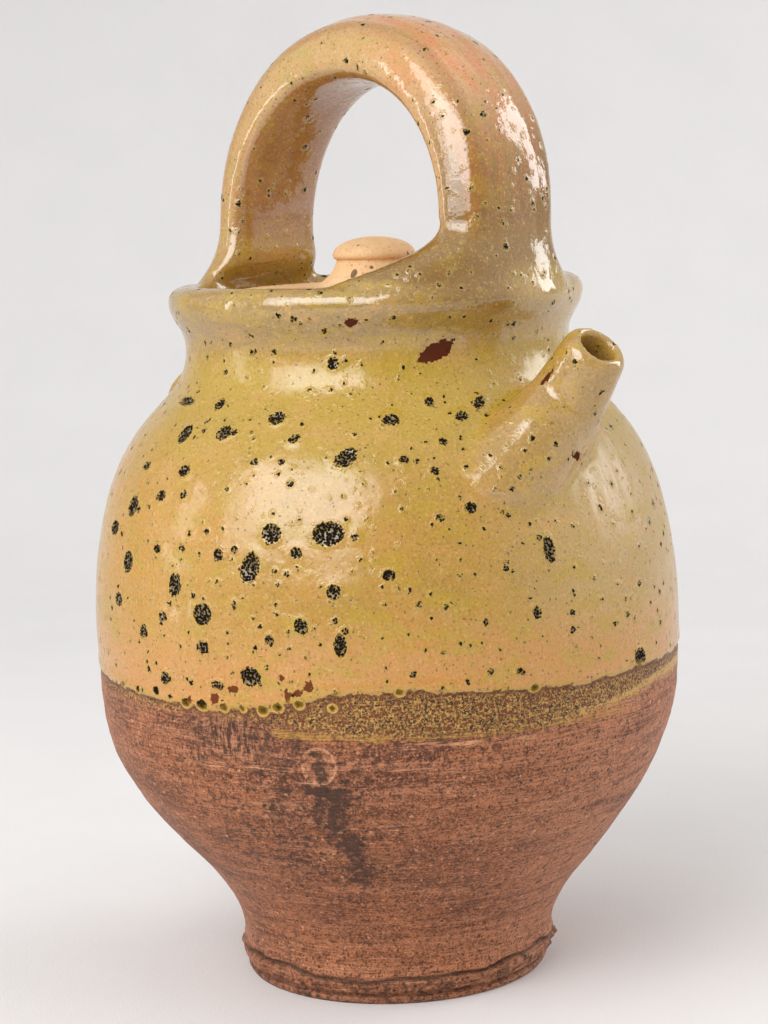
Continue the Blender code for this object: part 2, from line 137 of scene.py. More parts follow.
# Spout: taper and lip, the flare round its root, and the lobe smeared out under it on the near side
SPOUT_TAPER = 3.3 * MM
SPOUT_LIP = 1.5 * MM
SPOUT_FLARE_LENGTH = 14 * MM
SPOUT_NEAR_FLARE = 5 * MM
SPOUT_FAR_FLARE = 2 * MM
SPOUT_TOP_FLARE = 3 * MM
SPOUT_UNDER_FLARE = 0.6 * MM
SPOUT_FLARE_CURVE = 2.6
SPOUT_SAG = 4.5 * MM
SPOUT_ROOT_DEPTH = 5 * MM
LOBE_REACH = 14 * MM
LOBE_RISE = 13 * MM
LOBE_CURVE = 0.45
LOBE_TURN = math.radians(20)
BORE_OVERRUN = 5 * MM
LIP_ROUND = 1.6 * SPOUT_LIP
LOBE_SHARPNESS = 3
SAG_CURVE = 1.6

# Ear
EAR_CORNER = 2.6
EAR_ROOT_SPREAD = 4 * MM
EAR_ROOT_THICKENING = 1.6 * MM
EAR_ROOT_SHARE = 0.4
EAR_SAG = 0.25
EAR_SIDES = 40
EAR_RINGS = 60

# Lid and knob: the locating ring, the plate's edge, and (radius, rise above the plate) along the knob
RING_PLAY = 0.9 * MM
RING_WALL = 3.6 * MM
RING_DEPTH = 5.0 * MM
LID_EDGE = 1.2 * MM
KNOB_ROOT = 18.5 * MM
KNOB_LEAD = (14.5 * MM, 1.4 * MM)
KNOB_NECK = (11.2 * MM, 7.0 * MM)
KNOB_FOLLOW = (KNOB_NECK[0] + 1.2 * MM, 4.2 * MM)
CAP_CENTRE = (11.0 * MM, 1.75 * MM)
CAP_ROUND = 1.3 * MM
DOME_RISE = 5.4 * MM

# Where the melted top is pulled back to the turned outline, and where it is smoothed: distances from the
# added parts, and from the outline
SNAP_AWAY = (2.5 * MM, 6 * MM)
SNAP_GAP = 2 * MM
FILLET_AWAY = (4 * MM, 8 * MM)
FILLET_GAP = (3 * MM, 7 * MM)
INNER_DEPTH = 3 * MM

# The sideways lean of the body, which isn't quite round on its axis: height and shift, both in millimetres
SWAY = [(0, -1.0), (14, 0.0), (34, 1.4), (50, 0.1), (70, -0.7), (95, 0.0), (300, 0.0)]
SWAY_DIRECTION = (0.688, 0.725, 0.0)

# Refractive indices, and the linen's shading
GLAZE_IOR = 1.7
CLAY_IOR = 1.5
LINEN_IOR = 1.45
LINEN_ROUGHNESS = 0.9
LINEN_SHADE = (0.5, 0.5, 0.5)

# The camera's frame and near limit, the walls' light, and the cosines to the camera's side where it changes
FRAME_HEIGHT = 24.0
NEAREST = 0.05
WALL_LIGHT = (1.0, 0.99, 0.975, 1.0)
FRONT_SPREAD = (0.3, 0.95)

# The floor: its size, and how far behind the jug it turns up, and how fast
FLOOR_SIZE = 6.0
FLOOR_CUTS = 40
COVE_START = 0.7
COVE_RATE = 1.6

# Softboxes: name, azimuth, elevation, distance, width and height in metres, and the panel value of the power
LAMP_AIM = 120 * MM
SOFTBOXES = (
    ("key_softbox", 7.5, 34, 1.2, 1.15, 0.95, "key_power"),
    ("key_core", 11, 36, 1.15, 0.75, 0.60, "core_power"),
    ("side_softbox", 156, 25, 1.5, 0.50, 0.90, "side_power"),
    ("right_fill", 118, 18, 1.5, 1.2, 1.4, "fill_power"),
    ("left_strip", -41.5, 10, 1.3, 0.12, 0.9, "strip_power"),
)
UNSEEN_IN_GLAZE = ("right_fill",)

# Bearings and heights of the glaze's lower edge, and of the speckled band's under it
GLAZE_LINE = [
    (-180, 96), (-128, 96), (-101, 95), (-77, 94), (-61, 97), (-54, 99), (-42, 100), (-12, 97), (18, 97),
    (180, 96),
]
BAND_LINE = [
    (-180, 93), (-128, 93), (-94, 92), (-80, 93), (-67, 92), (-56, 89), (-28, 87), (-12, 87), (18, 91),
    (60, 92), (180, 93),
]

# Iron blisters: bearing, height, width, tallness in millimetres, tilt in degrees
BLISTERS = [
    (-54, 142, 8.6, 6.3, 0), (-65, 142, 5.7, 5.3, 0), (-69, 133, 5.3, 8.5, -15), (-79, 120, 6.0, 6.2, 0),
    (-86, 127, 4.8, 6.5, 0), (-102, 131, 5.3, 6.1, 0), (-104, 146, 5.6, 5.6, 15), (-95, 166, 4.9, 4.7, 20),
    (-82, 167, 5.2, 3.5, 0), (-69, 171, 5.1, 3.2, 0), (-51, 161, 6.4, 4.2, 30), (-89, 157, 4.3, 3.0, 0),
    (-76, 136, 3.2, 3.5, 0), (-60, 137, 3.3, 3.2, 0), (-53, 127, 3.7, 4.2, 0), (-59, 118, 3.8, 4.5, 30),
    (-52, 113, 3.5, 6.3, 0), (-79, 111, 4.3, 3.8, 0), (-69, 104, 5.9, 5.3, 0), (-65, 114, 2.6, 3.2, 0),
    (-89, 118, 3.5, 3.0, 0), (-105, 120, 4.8, 3.9, 0), (-95, 113, 4.0, 3.6, 0), (-89, 101, 3.9, 3.6, 0),
    (-76, 101, 4.1, 2.4, 0), (-94, 150, 4.3, 2.8, 0), (-85, 137, 2.5, 2.2, 0), (-92, 136, 3.3, 2.5, 0),
    (-43, 131, 3.7, 2.9, 0), (-104, 157, 4.6, 2.2, 0), (-111, 139, 6.0, 4.0, 0), (-56, 185, 3.3, 3.5, 0),
    (-105, 174, 8.9, 2.3, 0), (-89, 174, 3.6, 2.8, 0), (-41, 170, 4.6, 2.9, 0), (-24, 170, 4.0, 2.2, 20),
    (-18, 173, 4.8, 2.4, 30), (-27, 147, 3.3, 3.2, 0), (-12, 134, 3.7, 7.5, 0), (-16, 118, 2.7, 3.5, 0),
    (-72, 123, 2.1, 2.4, 0), (-71, 160, 2.4, 1.9, 0), (-87, 151, 2.3, 2.5, 0), (-49, 141, 2.1, 2.1, 0),
    (-39, 160, 2.7, 2.1, 0), (-63, 166, 3.1, 2.1, 20), (-31, 174, 2.5, 2.5, 0), (-30, 164, 2.5, 2.1, 0),
    (-33, 157, 2.4, 2.4, 0), (-33, 145, 2.4, 2.1, 0), (-26, 117, 1.9, 2.1, 0), (-33, 122, 1.8, 1.8, 0),
    (-20, 103, 2.0, 2.4, 0), (-38, 123, 1.8, 1.8, 0), (10, 100, 5.6, 5.0, 0),
]

# Ring-shaped bubbles along the glaze's lower edge, in the same terms
RINGS = [
    (-104, 96, 2.4, 2.2, 0), (-98, 96, 2.8, 2.4, 0), (-92, 97, 3.4, 2.8, 0), (-88, 96, 2.3, 2.0, 0),
    (-84, 95, 3.4, 3.0, 0), (-80, 95, 4.2, 3.2, 0), (-75, 95, 2.8, 2.7, 0), (-71, 95, 2.0, 2.0, 0),
    (-67, 95, 3.2, 3.1, 0), (-64, 96, 3.1, 2.9, 0), (-60, 97, 2.8, 2.8, 0), (-54, 96, 2.4, 2.2, 0),
    (-42, 100, 2.6, 2.4, 0), (-17, 98, 3.2, 2.5, 0),
]

# Where the glaze left dark clay bare, the scar on the clay and the mark on the knob's neck, in the same terms
BARE_PATCHES = [
    (-50, 196, 4.3, 2.4, 0), (-27, 187, 10.8, 4.6, 25), (-3, 158, 7.0, 2.2, -20), (-83, 96, 2.3, 2.9, 20),
    (-77, 97, 2.8, 3.4, -30), (-73, 100, 3.3, 2.1, 10), (-63, 104, 1.8, 2.2, 0), (-62, 99, 2.2, 3.9, 10),
    (-60, 100, 3.8, 1.9, 20), (-58, 102, 2.1, 3.4, -20),
]
SCARS = [(-57, 80, 10.0, 11.0, 0)]
LID_MARKS = [(-71, 207.5, 2.0, 2.6, 0)]

# Ends, in millimetres, of the crack that runs down the spout's near side
CRACK = ((71.0, -10.0, 173.0), (78.0, -9.8, 182.0))

# Pale drags over the bare clay and gold ones under the glaze: bearing and height at each end, width, strength
PALE_DRAGS_AND_SEAM_HIGHLIGHT = [
    (-91, 86, -87, 78, 1.3, 0.8), (-87, 78, -74, 78, 1.8, 0.8), (-75, 79, -60, 78, 0.7, 1.0),
    (-53, 80, -24, 76, 0.7, 0.9), (-24, 76, 20, 73, 0.7, 0.7), (-79, 69, -59, 68, 0.8, 0.6),
    (-46, 86, -12, 84, 1.4, 0.8), (-26, 82, 8, 78, 1.2, 0.6), (-22, 57, 1, 67, 2.4, 0.7),
    (-63, 75.5, -52, 74, 0.5, 1.3), (-79, 63, -62, 64, 0.6, 0.8), (-58, 49, -30, 51, 0.6, 0.6),
    # The last: a pale line on the lip under the foot's seam, a trace of glaze painted brighter as a
    # highlight.
    (-72, 7.4, -30, 7.0, 0.4, 1.3),
]
GOLD_DRAGS = [(-67, 89, -42, 87.2, 1.6, 1.1), (-46, 87.4, 10, 86.6, 1.0, 0.9)]


# What only the handle and the spout have, which the fired materials read everywhere
ADDED_WEIGHTS = (
    "handle", "smear", "strap_edge", "strap_inside", "leg", "strap_across", "strap_along", "spout",
)


# Plain arithmetic

def mix(start, end, share):
    return start + (end - start) * share


def clamp(value):
    return np.clip(value, 0.0, 1.0)


def ease(value):
    share = clamp(value)
    return share * share * (3.0 - 2.0 * share)


def ramp(value, low, high):
    """0 at low, 1 at high, eased between."""
    return ease((value - low) / (high - low))


def hill(value, centre, width):
    """1 at the centre, falling smoothly to 0 within about two widths."""
    return np.exp(-(((value - centre) / width) ** 2))


def turn_between(first, second):
    """Signed degrees from the second bearing to the first."""
    return (first - second + 180.0) % 360.0 - 180.0


def zone(bearing, centre, low, full, ebbing, gone):
    """Share of a zone round the jug, between 0 and 1, that starts and ends at degrees from a centre."""
    turn = turn_between(bearing, centre)
    return ramp(turn, low, full) * (1 - ramp(turn, ebbing, gone))


# Large odd numbers that scramble whole-number places into repeatable noise
LATTICE_FACTORS = (374761393, 668265263, 2147483647)
LATTICE_SEED = 974634777


def lattice(corners, seed):
    """One repeatable value from 0 to 1 for each whole-number corner."""
    value = corners @ np.array(LATTICE_FACTORS) + seed * LATTICE_SEED
    value = (value ^ (value >> 13)) * 1274126177
    value = (value ^ (value >> 16)) & 0xFFFFF
    return value / 0xFFFFF


def lumps(points, size, seed):
    """Smooth repeatable noise from -1 to 1, with lumps of a given size."""
    scaled = points / size + 0.5 * seed
    corner = np.floor(scaled).astype(np.int64)
    share = scaled - corner
    share = share * share * (3.0 - 2.0 * share)
    total = np.zeros(len(points))
    for step in np.ndindex(2, 2, 2):
        weight = np.prod(np.where(np.array(step, bool), share, 1.0 - share), axis=1)
        total += weight * lattice(corner + np.array(step), seed)
    return total * 2.0 - 1.0


# Lines in (radius, height)

def bezier(start, lead, follow, end, count=CURVE_POINTS):
    points = []
    for i in range(count + 1):
        t = i / count
        u = 1.0 - t
        weights = (u * u * u, 3 * u * u * t, 3 * u * t * t, t * t * t)
        corners = list(zip(weights, (start, lead, follow, end)))
        points.append(tuple(sum(weight * corner[k] for weight, corner in corners) for k in range(2)))
    return points


def arc(centre, half_width, half_height, start, end, count=24):
    x, z = centre
    turns = [math.radians(mix(start, end, i / count)) for i in range(count + 1)]
    return [(x + half_width * math.cos(turn), z + half_height * math.sin(turn)) for turn in turns]


def join_lines(*lines):
    whole = []
    for line in lines:
        for point in line:
            if not whole or math.dist(point, whole[-1]) > SHARED_POINT:
                whole.append(point)
    return whole


def offset_line(line, distance):
    """A line moved to its left by a distance."""
    moved = []
    for i, point in enumerate(line):
        before = line[max(i - 1, 0)]
        after = line[min(i + 1, len(line) - 1)]
        run = (after[0] - before[0], after[1] - before[1])
        length = math.hypot(*run)
        moved.append((point[0] - run[1] / length * distance, point[1] + run[0] / length * distance))
    return moved


def respace(line, step_at):
    """The same line with its points apart by the step that step_at gives at each height."""
    path = np.array(line)
    run = np.concatenate([[0.0], np.cumsum(np.hypot(*np.diff(path, axis=0).T))])
    rate = 1.0 / np.array([step_at(point) for point in path])
    count = np.concatenate([[0.0], np.cumsum(np.diff(run) * (rate[1:] + rate[:-1]) / 2)])
    total = max(int(round(count[-1])), 1)
    at = np.interp(np.linspace(0, count[-1], total + 1), count, run)
    return list(zip(np.interp(at, run, path[:, 0]), np.interp(at, run, path[:, 1])))


def trim(line, height, side):
    """The part of a line above a height, for side 1, or below it, for side -1, ended at that height."""

    def keep(point):
        return (point[1] - height) * side > 0

    kept = []
    for first, second in zip(line, line[1:]):
        if keep(first):
            kept.append(first)
        if keep(first) != keep(second):
            share = (height - first[1]) / (second[1] - first[1])
            kept.append((mix(first[0], second[0], share), height))
    if keep(line[-1]):
        kept.append(line[-1])
    return join_lines(kept)


class Outline:
    """The turned outline, worked out from the sizes in the panel."""

    def __init__(self, sizes):
        self.sizes = sizes
        self.rim_height = sizes.neck_height + sizes.collar_height
        self.bulge_height = self.rim_height - RIM_BULGE
        self.collar_inner = sizes.rim_radius - sizes.rim_thickness
        self.lid_top = self.rim_height - sizes.lid_sink
        self.lid_under = self.lid_top - sizes.lid_thickness
        self.ledge_height = self.lid_under - SEAT_GAP
        self.ledge_radius = sizes.lid_radius - LID_BEARING
        self.outside = np.array(join_lines(self.foot(), self.belly(), self.collar()))

    def foot(self):
        s = self.sizes
        edge = arc((s.foot_radius - FOOT_EDGE, FOOT_EDGE), FOOT_EDGE, FOOT_EDGE, -90, 0)
        groove = (s.foot_radius - FOOT_GROOVE_DEPTH, FOOT_GROOVE_HEIGHT)
        waist = (s.waist_radius, s.waist_height)
        bulge = (8 * FOOT_BEAD_RADIUS - groove[0] - waist[0]) / 6
        bead = bezier(groove, (bulge, FOOT_GROOVE_HEIGHT), (bulge, s.waist_height), waist)
        return join_lines(edge, bead)

    def belly(self):
        s = self.sizes
        lower = s.belly_height - s.waist_height
        upper = s.neck_height - s.belly_height
        rising = bezier(
            (s.waist_radius, s.waist_height),
            (s.waist_radius, s.waist_height + BELLY_RISE * lower),
            (s.belly_radius, s.belly_height - BELLY_FULLNESS * lower),
            (s.belly_radius, s.belly_height),
        )
        closing = bezier(
            (s.belly_radius, s.belly_height),
            (s.belly_radius, s.belly_height + SHOULDER_FULLNESS * upper),
            (s.neck_radius, s.neck_height - SHOULDER_HOLLOW * upper),
            (s.neck_radius, s.neck_height),
        )
        return join_lines(rising, closing)

    def collar(self):
        s = self.sizes
        rise = self.bulge_height - s.neck_height
        return bezier(
            (s.neck_radius, s.neck_height),
            (s.neck_radius, s.neck_height + COLLAR_FLARE * rise),
            (s.rim_radius, self.bulge_height - COLLAR_FLARE * rise),
            (s.rim_radius, self.bulge_height),
        )

    def rim(self):
        s = self.sizes
        crest = (s.rim_radius + self.collar_inner) / 2
        outside = arc((crest, self.bulge_height), s.rim_radius - crest, RIM_BULGE, 0, 90)
        low = (crest, self.rim_height - RIM_INNER_ROUND)
        inside = arc(low, crest - self.collar_inner, RIM_INNER_ROUND, 90, 180)
        return join_lines(outside, inside)

    def ledge(self):
        s = self.sizes
        low = self.ledge_height
        corner = (self.collar_inner - LEDGE_FILLET, low + LEDGE_FILLET)
        hollow = arc(corner, LEDGE_FILLET, LEDGE_FILLET, 0, -90)
        half = LEDGE_NOSE / 2
        nose = arc((self.ledge_radius + half, low - half), half, half, 90, 270)
        throat = (s.neck_radius - s.wall, low - LEDGE_NOSE - THROAT_DROP)
        lead = ((nose[-1][0] + throat[0]) / 2, nose[-1][1])
        undercut = bezier(nose[-1], lead, (throat[0], throat[1] + LEDGE_UNDERCUT), throat)
        return join_lines(hollow, nose, undercut)

    def inside(self):
        """From the throat down the inner wall to the floor's centre."""
        s = self.sizes
        throat_height = self.ledge_height - LEDGE_NOSE - THROAT_DROP
        whole = offset_line(self.belly(), s.wall)
        wall = [p for p in whole if s.floor + FLOOR_FILLET < p[1] < throat_height - THROAT_STEP]
        wall.reverse()
        low = wall[-1]
        slope = (low[0] - wall[-2][0], low[1] - wall[-2][1])
        reach = (low[1] - s.floor) * FLOOR_LEAD / abs(slope[1])
        lead = (low[0] + slope[0] * reach, low[1] + slope[1] * reach)
        follow = (low[0] - FLOOR_FOLLOW * FLOOR_FILLET, s.floor)
        fillet = bezier(low, lead, follow, (low[0] - FLOOR_FILLET, s.floor))
        return join_lines(wall, fillet, [(0.0, s.floor)])

    def radius_at(self, height):
        """Radius of the outside at a height, or at many heights at once."""
        return np.interp(height, self.outside[:, 1], self.outside[:, 0])


# Mesh tools

def deselect_all():
    bpy.ops.object.select_all(action="DESELECT")


def only(piece):
    """Makes a piece the one that operators act on."""
    deselect_all()
    piece.select_set(True)
    bpy.context.view_layer.objects.active = piece


def places(piece):
    points = np.empty(len(piece.data.vertices) * 3)
    piece.data.vertices.foreach_get("co", points)
    return points.reshape(-1, 3)


def normals(piece):
    vectors = np.empty(len(piece.data.vertices) * 3)
    piece.data.vertex_normals.foreach_get("vector", vectors)
    return vectors.reshape(-1, 3)


def move_to(piece, points):
    piece.data.vertices.foreach_set("co", points.ravel())
    piece.data.update()


@contextmanager
def edit_mode(action=None):
    """Edit mode on the active piece, with its whole mesh selected or deselected first where that is asked."""
    bpy.ops.object.mode_set(mode="EDIT")
    if action:
        bpy.ops.mesh.select_all(action=action)
    yield
    bpy.ops.object.mode_set(mode="OBJECT")


def clear_selection():
    with edit_mode("DESELECT"):
        pass


def face_outward():
    """Turns the active piece's normals outward, in edit mode with all selected."""
    bpy.ops.mesh.normals_make_consistent(inside=False)


def apply_modifier(piece, kind, **settings):
    only(piece)
    modifier = piece.modifiers.new(kind.lower(), kind)
    for name, value in settings.items():
        setattr(modifier, name, value)
    bpy.ops.object.modifier_apply(modifier=modifier.name)


def spin_line(name, line, steps, closed):
    """A turned piece: a circle primitive is laid on the outline and spun about Z."""
    deselect_all()
    bpy.ops.mesh.primitive_circle_add(vertices=len(line), radius=1.0)
    piece = bpy.context.object
    piece.name = piece.data.name = name
    for vertex, (radius, height) in zip(piece.data.vertices, line):
        vertex.co = (radius, 0.0, height)
    if not closed:
        clear_selection()
        piece.data.vertices[0].select = True
        piece.data.vertices[len(line) - 1].select = True
        with edit_mode():
            bpy.ops.mesh.delete(type="EDGE")
    apply_modifier(piece, "SCREW", axis="Z", angle=2 * math.pi, steps=steps, render_steps=steps,
                   use_merge_vertices=True, merge_threshold=SHARED_POINT)
    with edit_mode("SELECT"):
        bpy.ops.mesh.remove_doubles(threshold=SHARED_POINT)
        face_outward()
    return piece


def tube_blank(name, sides, rings, place):
    """A cylinder primitive cut into rings, whose points are then moved to place(ring, side)."""
    deselect_all()
    bpy.ops.mesh.primitive_cylinder_add(vertices=sides, radius=1.0, depth=1.0, end_fill_type="NGON")
    piece = bpy.context.object
    piece.name = piece.data.name = name
    clear_selection()
    for edge in piece.data.edges:
        first, second = (piece.data.vertices[i].co for i in edge.vertices)
        edge.select = abs(first.z - second.z) > 0.5
    bpy.context.tool_settings.mesh_select_mode = (False, True, False)
    with edit_mode():
        bpy.ops.mesh.subdivide(number_cuts=rings - 2)
    bpy.context.tool_settings.mesh_select_mode = (True, False, False)
    for vertex in piece.data.vertices:
        ring = round((vertex.co.z + 0.5) * (rings - 1))
        side = round(math.atan2(vertex.co.y, vertex.co.x) / (2 * math.pi) * sides) % sides
        vertex.co = place(ring, side)
    only(piece)
    with edit_mode("SELECT"):
        face_outward()
    return piece


def cut(piece, cutter):
    apply_modifier(piece, "BOOLEAN", operation="DIFFERENCE", solver="EXACT", object=cutter)


def distances(piece, points):
    """Distance from each point to a piece's skin."""
    tree = BVHTree.FromObject(piece, bpy.context.evaluated_depsgraph_get())
    return np.array([tree.find_nearest(Vector(point))[3] for point in points])


def nearest_on_line(radius, height, line):
    """The nearest point on a line in (radius, height) to each of many points, and its distance."""
    start = np.array(line[:-1])
    run = np.array(line[1:]) - start
    length = (run ** 2).sum(axis=1)
    points = np.stack([radius, height], axis=1)
    found = np.empty_like(points)
    for low in range(0, len(points), 4000):
        chunk = points[low:low + 4000, None, :]
        share = clamp(((chunk - start) * run).sum(axis=2) / length)
        near = start + run * share[:, :, None]
        gap = ((near - chunk) ** 2).sum(axis=2)
        best = gap.argmin(axis=1)
        found[low:low + 4000] = near[np.arange(len(best)), best]
    return found, np.hypot(*(found - points).T)


# The jug's skin: what the potter's hands and the kiln did to it

def bearing_of(points):
    return np.degrees(np.arctan2(points[:, 1], points[:, 0]))


def line_height(bearing, line):
    stops = np.array(line, float)
    return np.interp(bearing, stops[:, 0], stops[:, 1]) * MM


def patch_depth(points, patches):
    """Signed distance in millimetres into the nearest of some oval patches, negative outside them."""
    bearing = bearing_of(points)
    radius = np.hypot(points[:, 0], points[:, 1])
    best = np.full(len(points), -4.0)
    for angle, height, width, tallness, tilt in patches:
        across = np.radians(turn_between(bearing, angle)) * radius / MM
        along = points[:, 2] / MM - height
        c, s = math.cos(math.radians(tilt)), math.sin(math.radians(tilt))
        x = (across * c + along * s) / (width / 2)
        y = (along * c - across * s) / (tallness / 2)
        inside = (1.0 - np.hypot(x, y)) * min(width, tallness) / 2
        best = np.maximum(best, inside)
    return best


def crack_depth(points):
    """Signed distance in millimetres into the ragged crack down the spout's near side."""
    start, end = (np.array(place) for place in CRACK)
    run = end - start
    share = clamp(((points / MM - start) @ run) / (run @ run))
    return 0.7 - np.linalg.norm(points / MM - start - share[:, None] * run, axis=1)


def soot(points):
    """Share of smoke and painted shade on the bare clay, in degrees and millimetres: a run below the scar,
    patches, and painted shade over the foot.
    """
    bearing = bearing_of(points)
    height = points[:, 2] / MM
    run = -54 + 2 * np.sin(height / 6)
    trail = 0.9 * hill(turn_between(bearing, run), 0, 3.2) * ramp(height, 20, 60) * (1 - ramp(height, 72, 75))
    hole = 2.5 * hill(turn_between(bearing, -57.5), 0, 0.5) * hill(height, 83.4, 0.8)
    cloud = 0.55 * hill(turn_between(bearing, -66), 0, 24) * ramp(height, 20, 55) * (1 - ramp(height, 76, 86))
    shade = 0.45 * hill(height, 86, 7) * (1 - ramp(np.abs(turn_between(bearing, -45)), 30, 60))
    wedge = 1.2 * hill(turn_between(bearing, -56.6), 0, 0.8)
    wedge *= ramp(height, 74, 77) * (1 - ramp(height, 80, 82))
    lip = 1.6 * hill(height, 72.6 + 0.8 * np.sin(bearing * 2.2), 0.9) * hill(turn_between(bearing, -56), 0, 4)
    # Painted shade: the clay darkened towards the foot, below 10 mm.
    foot = 0.6 * (1 - ramp(height, 7, 10))
    return trail + cloud + shade + hole + wedge + lip + foot


def seam_height(bearing):
    """Height in millimetres of the torn seam over the foot's roll."""
    turn = np.radians(bearing)
    return 8.2 + 0.7 * np.sin(3 * turn + 1.0) + 0.5 * np.sin(7 * turn) + 0.35 * np.sin(17 * turn + 2.0)


def foot_relief(points):
    """The torn, half-trimmed edge over the foot, in millimetres."""
    bearing = bearing_of(points)
    height = points[:, 2] / MM
    under = seam_height(bearing) - height
    broken = ramp(lumps(points, 16 * MM, 35), -0.5, 0.5)
    torn = 0.8 * lumps(points, 4.0 * MM, 31) + 0.6 * lumps(points, 1.6 * MM, 32)
    torn *= ramp(under, -1.5, 0.8) * (1 - ramp(under, 5, 7.6)) * mix(0.25, 1.0, broken)
    seam = -mix(0.5, 1.3, broken) * hill(under, 0.0, 0.6)
    lip = 0.7 * hill(under, 1.4, 0.9) * broken
    grooves = -0.35 * (hill(height, 5.2, 0.35) + hill(height, 2.6, 0.45)) * (1 - 0.5 * broken)
    return torn + seam + lip + grooves


def scar_relief(points):
    """The round scar left by a stick or a touching pot: a raised ring, torn at its lower edge."""
    depth = patch_depth(points, SCARS)
    return 0.45 * hill(depth, 0.3, 0.7) + 0.2 * ramp(depth, 0.5, 2) * lumps(points, 2.5 * MM, 41)


def drags(points, strokes):
    """Strength of pale strokes dragged across the skin."""
    bearing = bearing_of(points)
    height = points[:, 2] / MM
    strength = np.zeros(len(points))
    for start, low, end, high, width, depth in strokes:
        share = turn_between(bearing, start) / (end - start)
        window = ramp(share, 0.0, 0.12) * (1 - ramp(share, 0.88, 1.0))
        strength = np.maximum(strength, depth * window * hill(height, mix(low, high, share), width))
    return strength


def sway(points):
    stops = np.array(SWAY)
    shift = np.interp(points[:, 2] / MM, stops[:, 0], stops[:, 1]) * MM
    return shift[:, None] * np.array(SWAY_DIRECTION)


def relief(points):
    """How far the skin stands out from the plain outline, in metres."""
    height = points[:, 2]
    bearing = bearing_of(points)
    over = (height - line_height(bearing, GLAZE_LINE)) / MM
    glazed = ramp(over, -0.6, 0.6)
    wobble = 0.30 * MM * lumps(points, 34 * MM, 3) + 0.10 * MM * lumps(points, 14 * MM, 5)
    wobble += 0.05 * MM * glazed * lumps(points, 5 * MM, 6)
    around = np.radians(bearing)
    wound = np.stack([3 * MM * np.cos(around), 3 * MM * np.sin(around), height], axis=1)
    ridges = 0.13 * MM * lumps(wound, 4.5 * MM, 7) * (1 - 0.5 * glazed)
    coat = 0.35 * MM * (glazed * (1 + 0.6 * hill(over, 1.2, 1.6)) - 1)
    depth = patch_depth(points, BLISTERS)
    crater = MM * (0.30 * hill(depth, -0.2, 0.7) - 0.35 * ramp(depth, 0.2, 1.2))
    widest = 0.75 * MM * hill(height, 95 * MM, 14 * MM)
    crown = 0.5 * MM * ramp(height, 268 * MM, 280 * MM)
    marks = MM * (foot_relief(points) * (1 - ramp(height, 11 * MM, 13 * MM)) + scar_relief(points))
    grit = 0.10 * MM * lumps(points, 2.2 * MM, 9) * (1 - glazed)
    rear = 0.35 * MM * ramp(-points[:, 0], 84 * MM, 89 * MM)
    arch = np.radians(turn_between(bearing, 6)) * 72
    flutes = 0.15 * MM * np.cos(arch + 1.5 * lumps(points, 9 * MM, 12))
    flutes *= hill(height, 148 * MM, 9 * MM) * hill(arch, 4, 14)
    return wobble + ridges + coat + crater * glazed + marks + grit + flutes - widest - crown - rear


def skin_weights(points, spout):
    """What the fired materials read on the jug's skin, by bearing in degrees and height in millimetres.

    spout says how far each point belongs to the spout.
    """
    bearing = bearing_of(points)
    height = points[:, 2] / MM
    over_line = height - line_height(bearing, GLAZE_LINE) / MM
    over_band = height - line_height(bearing, BAND_LINE) / MM
    from_spout = np.abs(turn_between(bearing, 0))
    shoulder = ramp(height, 148, 172) * (1 - ramp(height, 184, 193))
    under_spout = hill(turn_between(bearing, 20), 0, 26) * ramp(height, 105, 140)
    return {
        "above_line": over_line,
        "above_band": over_band,
        "band_gold": 0.45 * zone(bearing, 0, -30, 25, 110, 170) + 0.50 * (1 - ramp(over_band, 1, 4)),
        "blister": patch_depth(points, BLISTERS),
        "bare": np.maximum(patch_depth(points, BARE_PATCHES), crack_depth(points)),
        "scar": patch_depth(points, SCARS),
        "soot": soot(points),
        # Painted light: the bare clay paler more than 30 degrees either side of bearing -62, towards its
        # silhouettes, and a little paler below 50 mm.
        "flash": 0.98 * ramp(np.abs(turn_between(bearing, -62)), 30, 72) + 0.25 * (1 - ramp(height, 15, 50)),
        "ring": patch_depth(points, RINGS),
        # Pale drags, one of them a painted highlight along the foot's seam.
        "drag": drags(points, PALE_DRAGS_AND_SEAM_HIGHLIGHT),
        "gold_drag": drags(points, GOLD_DRAGS),
        "hatch": hill(turn_between(bearing, -74), 0, 6) * ramp(height, 80, 84) * (1 - ramp(height, 91, 95)),
        "seam": hill(height, seam_height(bearing), 0.7) + 0.5 * hill(height, 2.4, 0.6),
        "pitted": under_spout * (1 - ramp(height, 166, 178)),
        "shine": np.maximum(ramp(height, 184, 197), spout),
        "collar": 0.9 * ramp(height, 183, 193) * zone(bearing, -8, -172, -130, -8, 8),
        "olive": 0.85 * shoulder * (1 - ramp(from_spout, 100, 150)) * (1 - spout),
        "orange": 0.8 * hill(turn_between(bearing, -108), 0, 34) * (1 - ramp(height, 140, 175)),
        "peach": 0.8 * (1 - ramp(over_line, 6, 26)),
        "beige": 0.85 * zone(bearing, -43, 12, 48, 105, 170),
    }


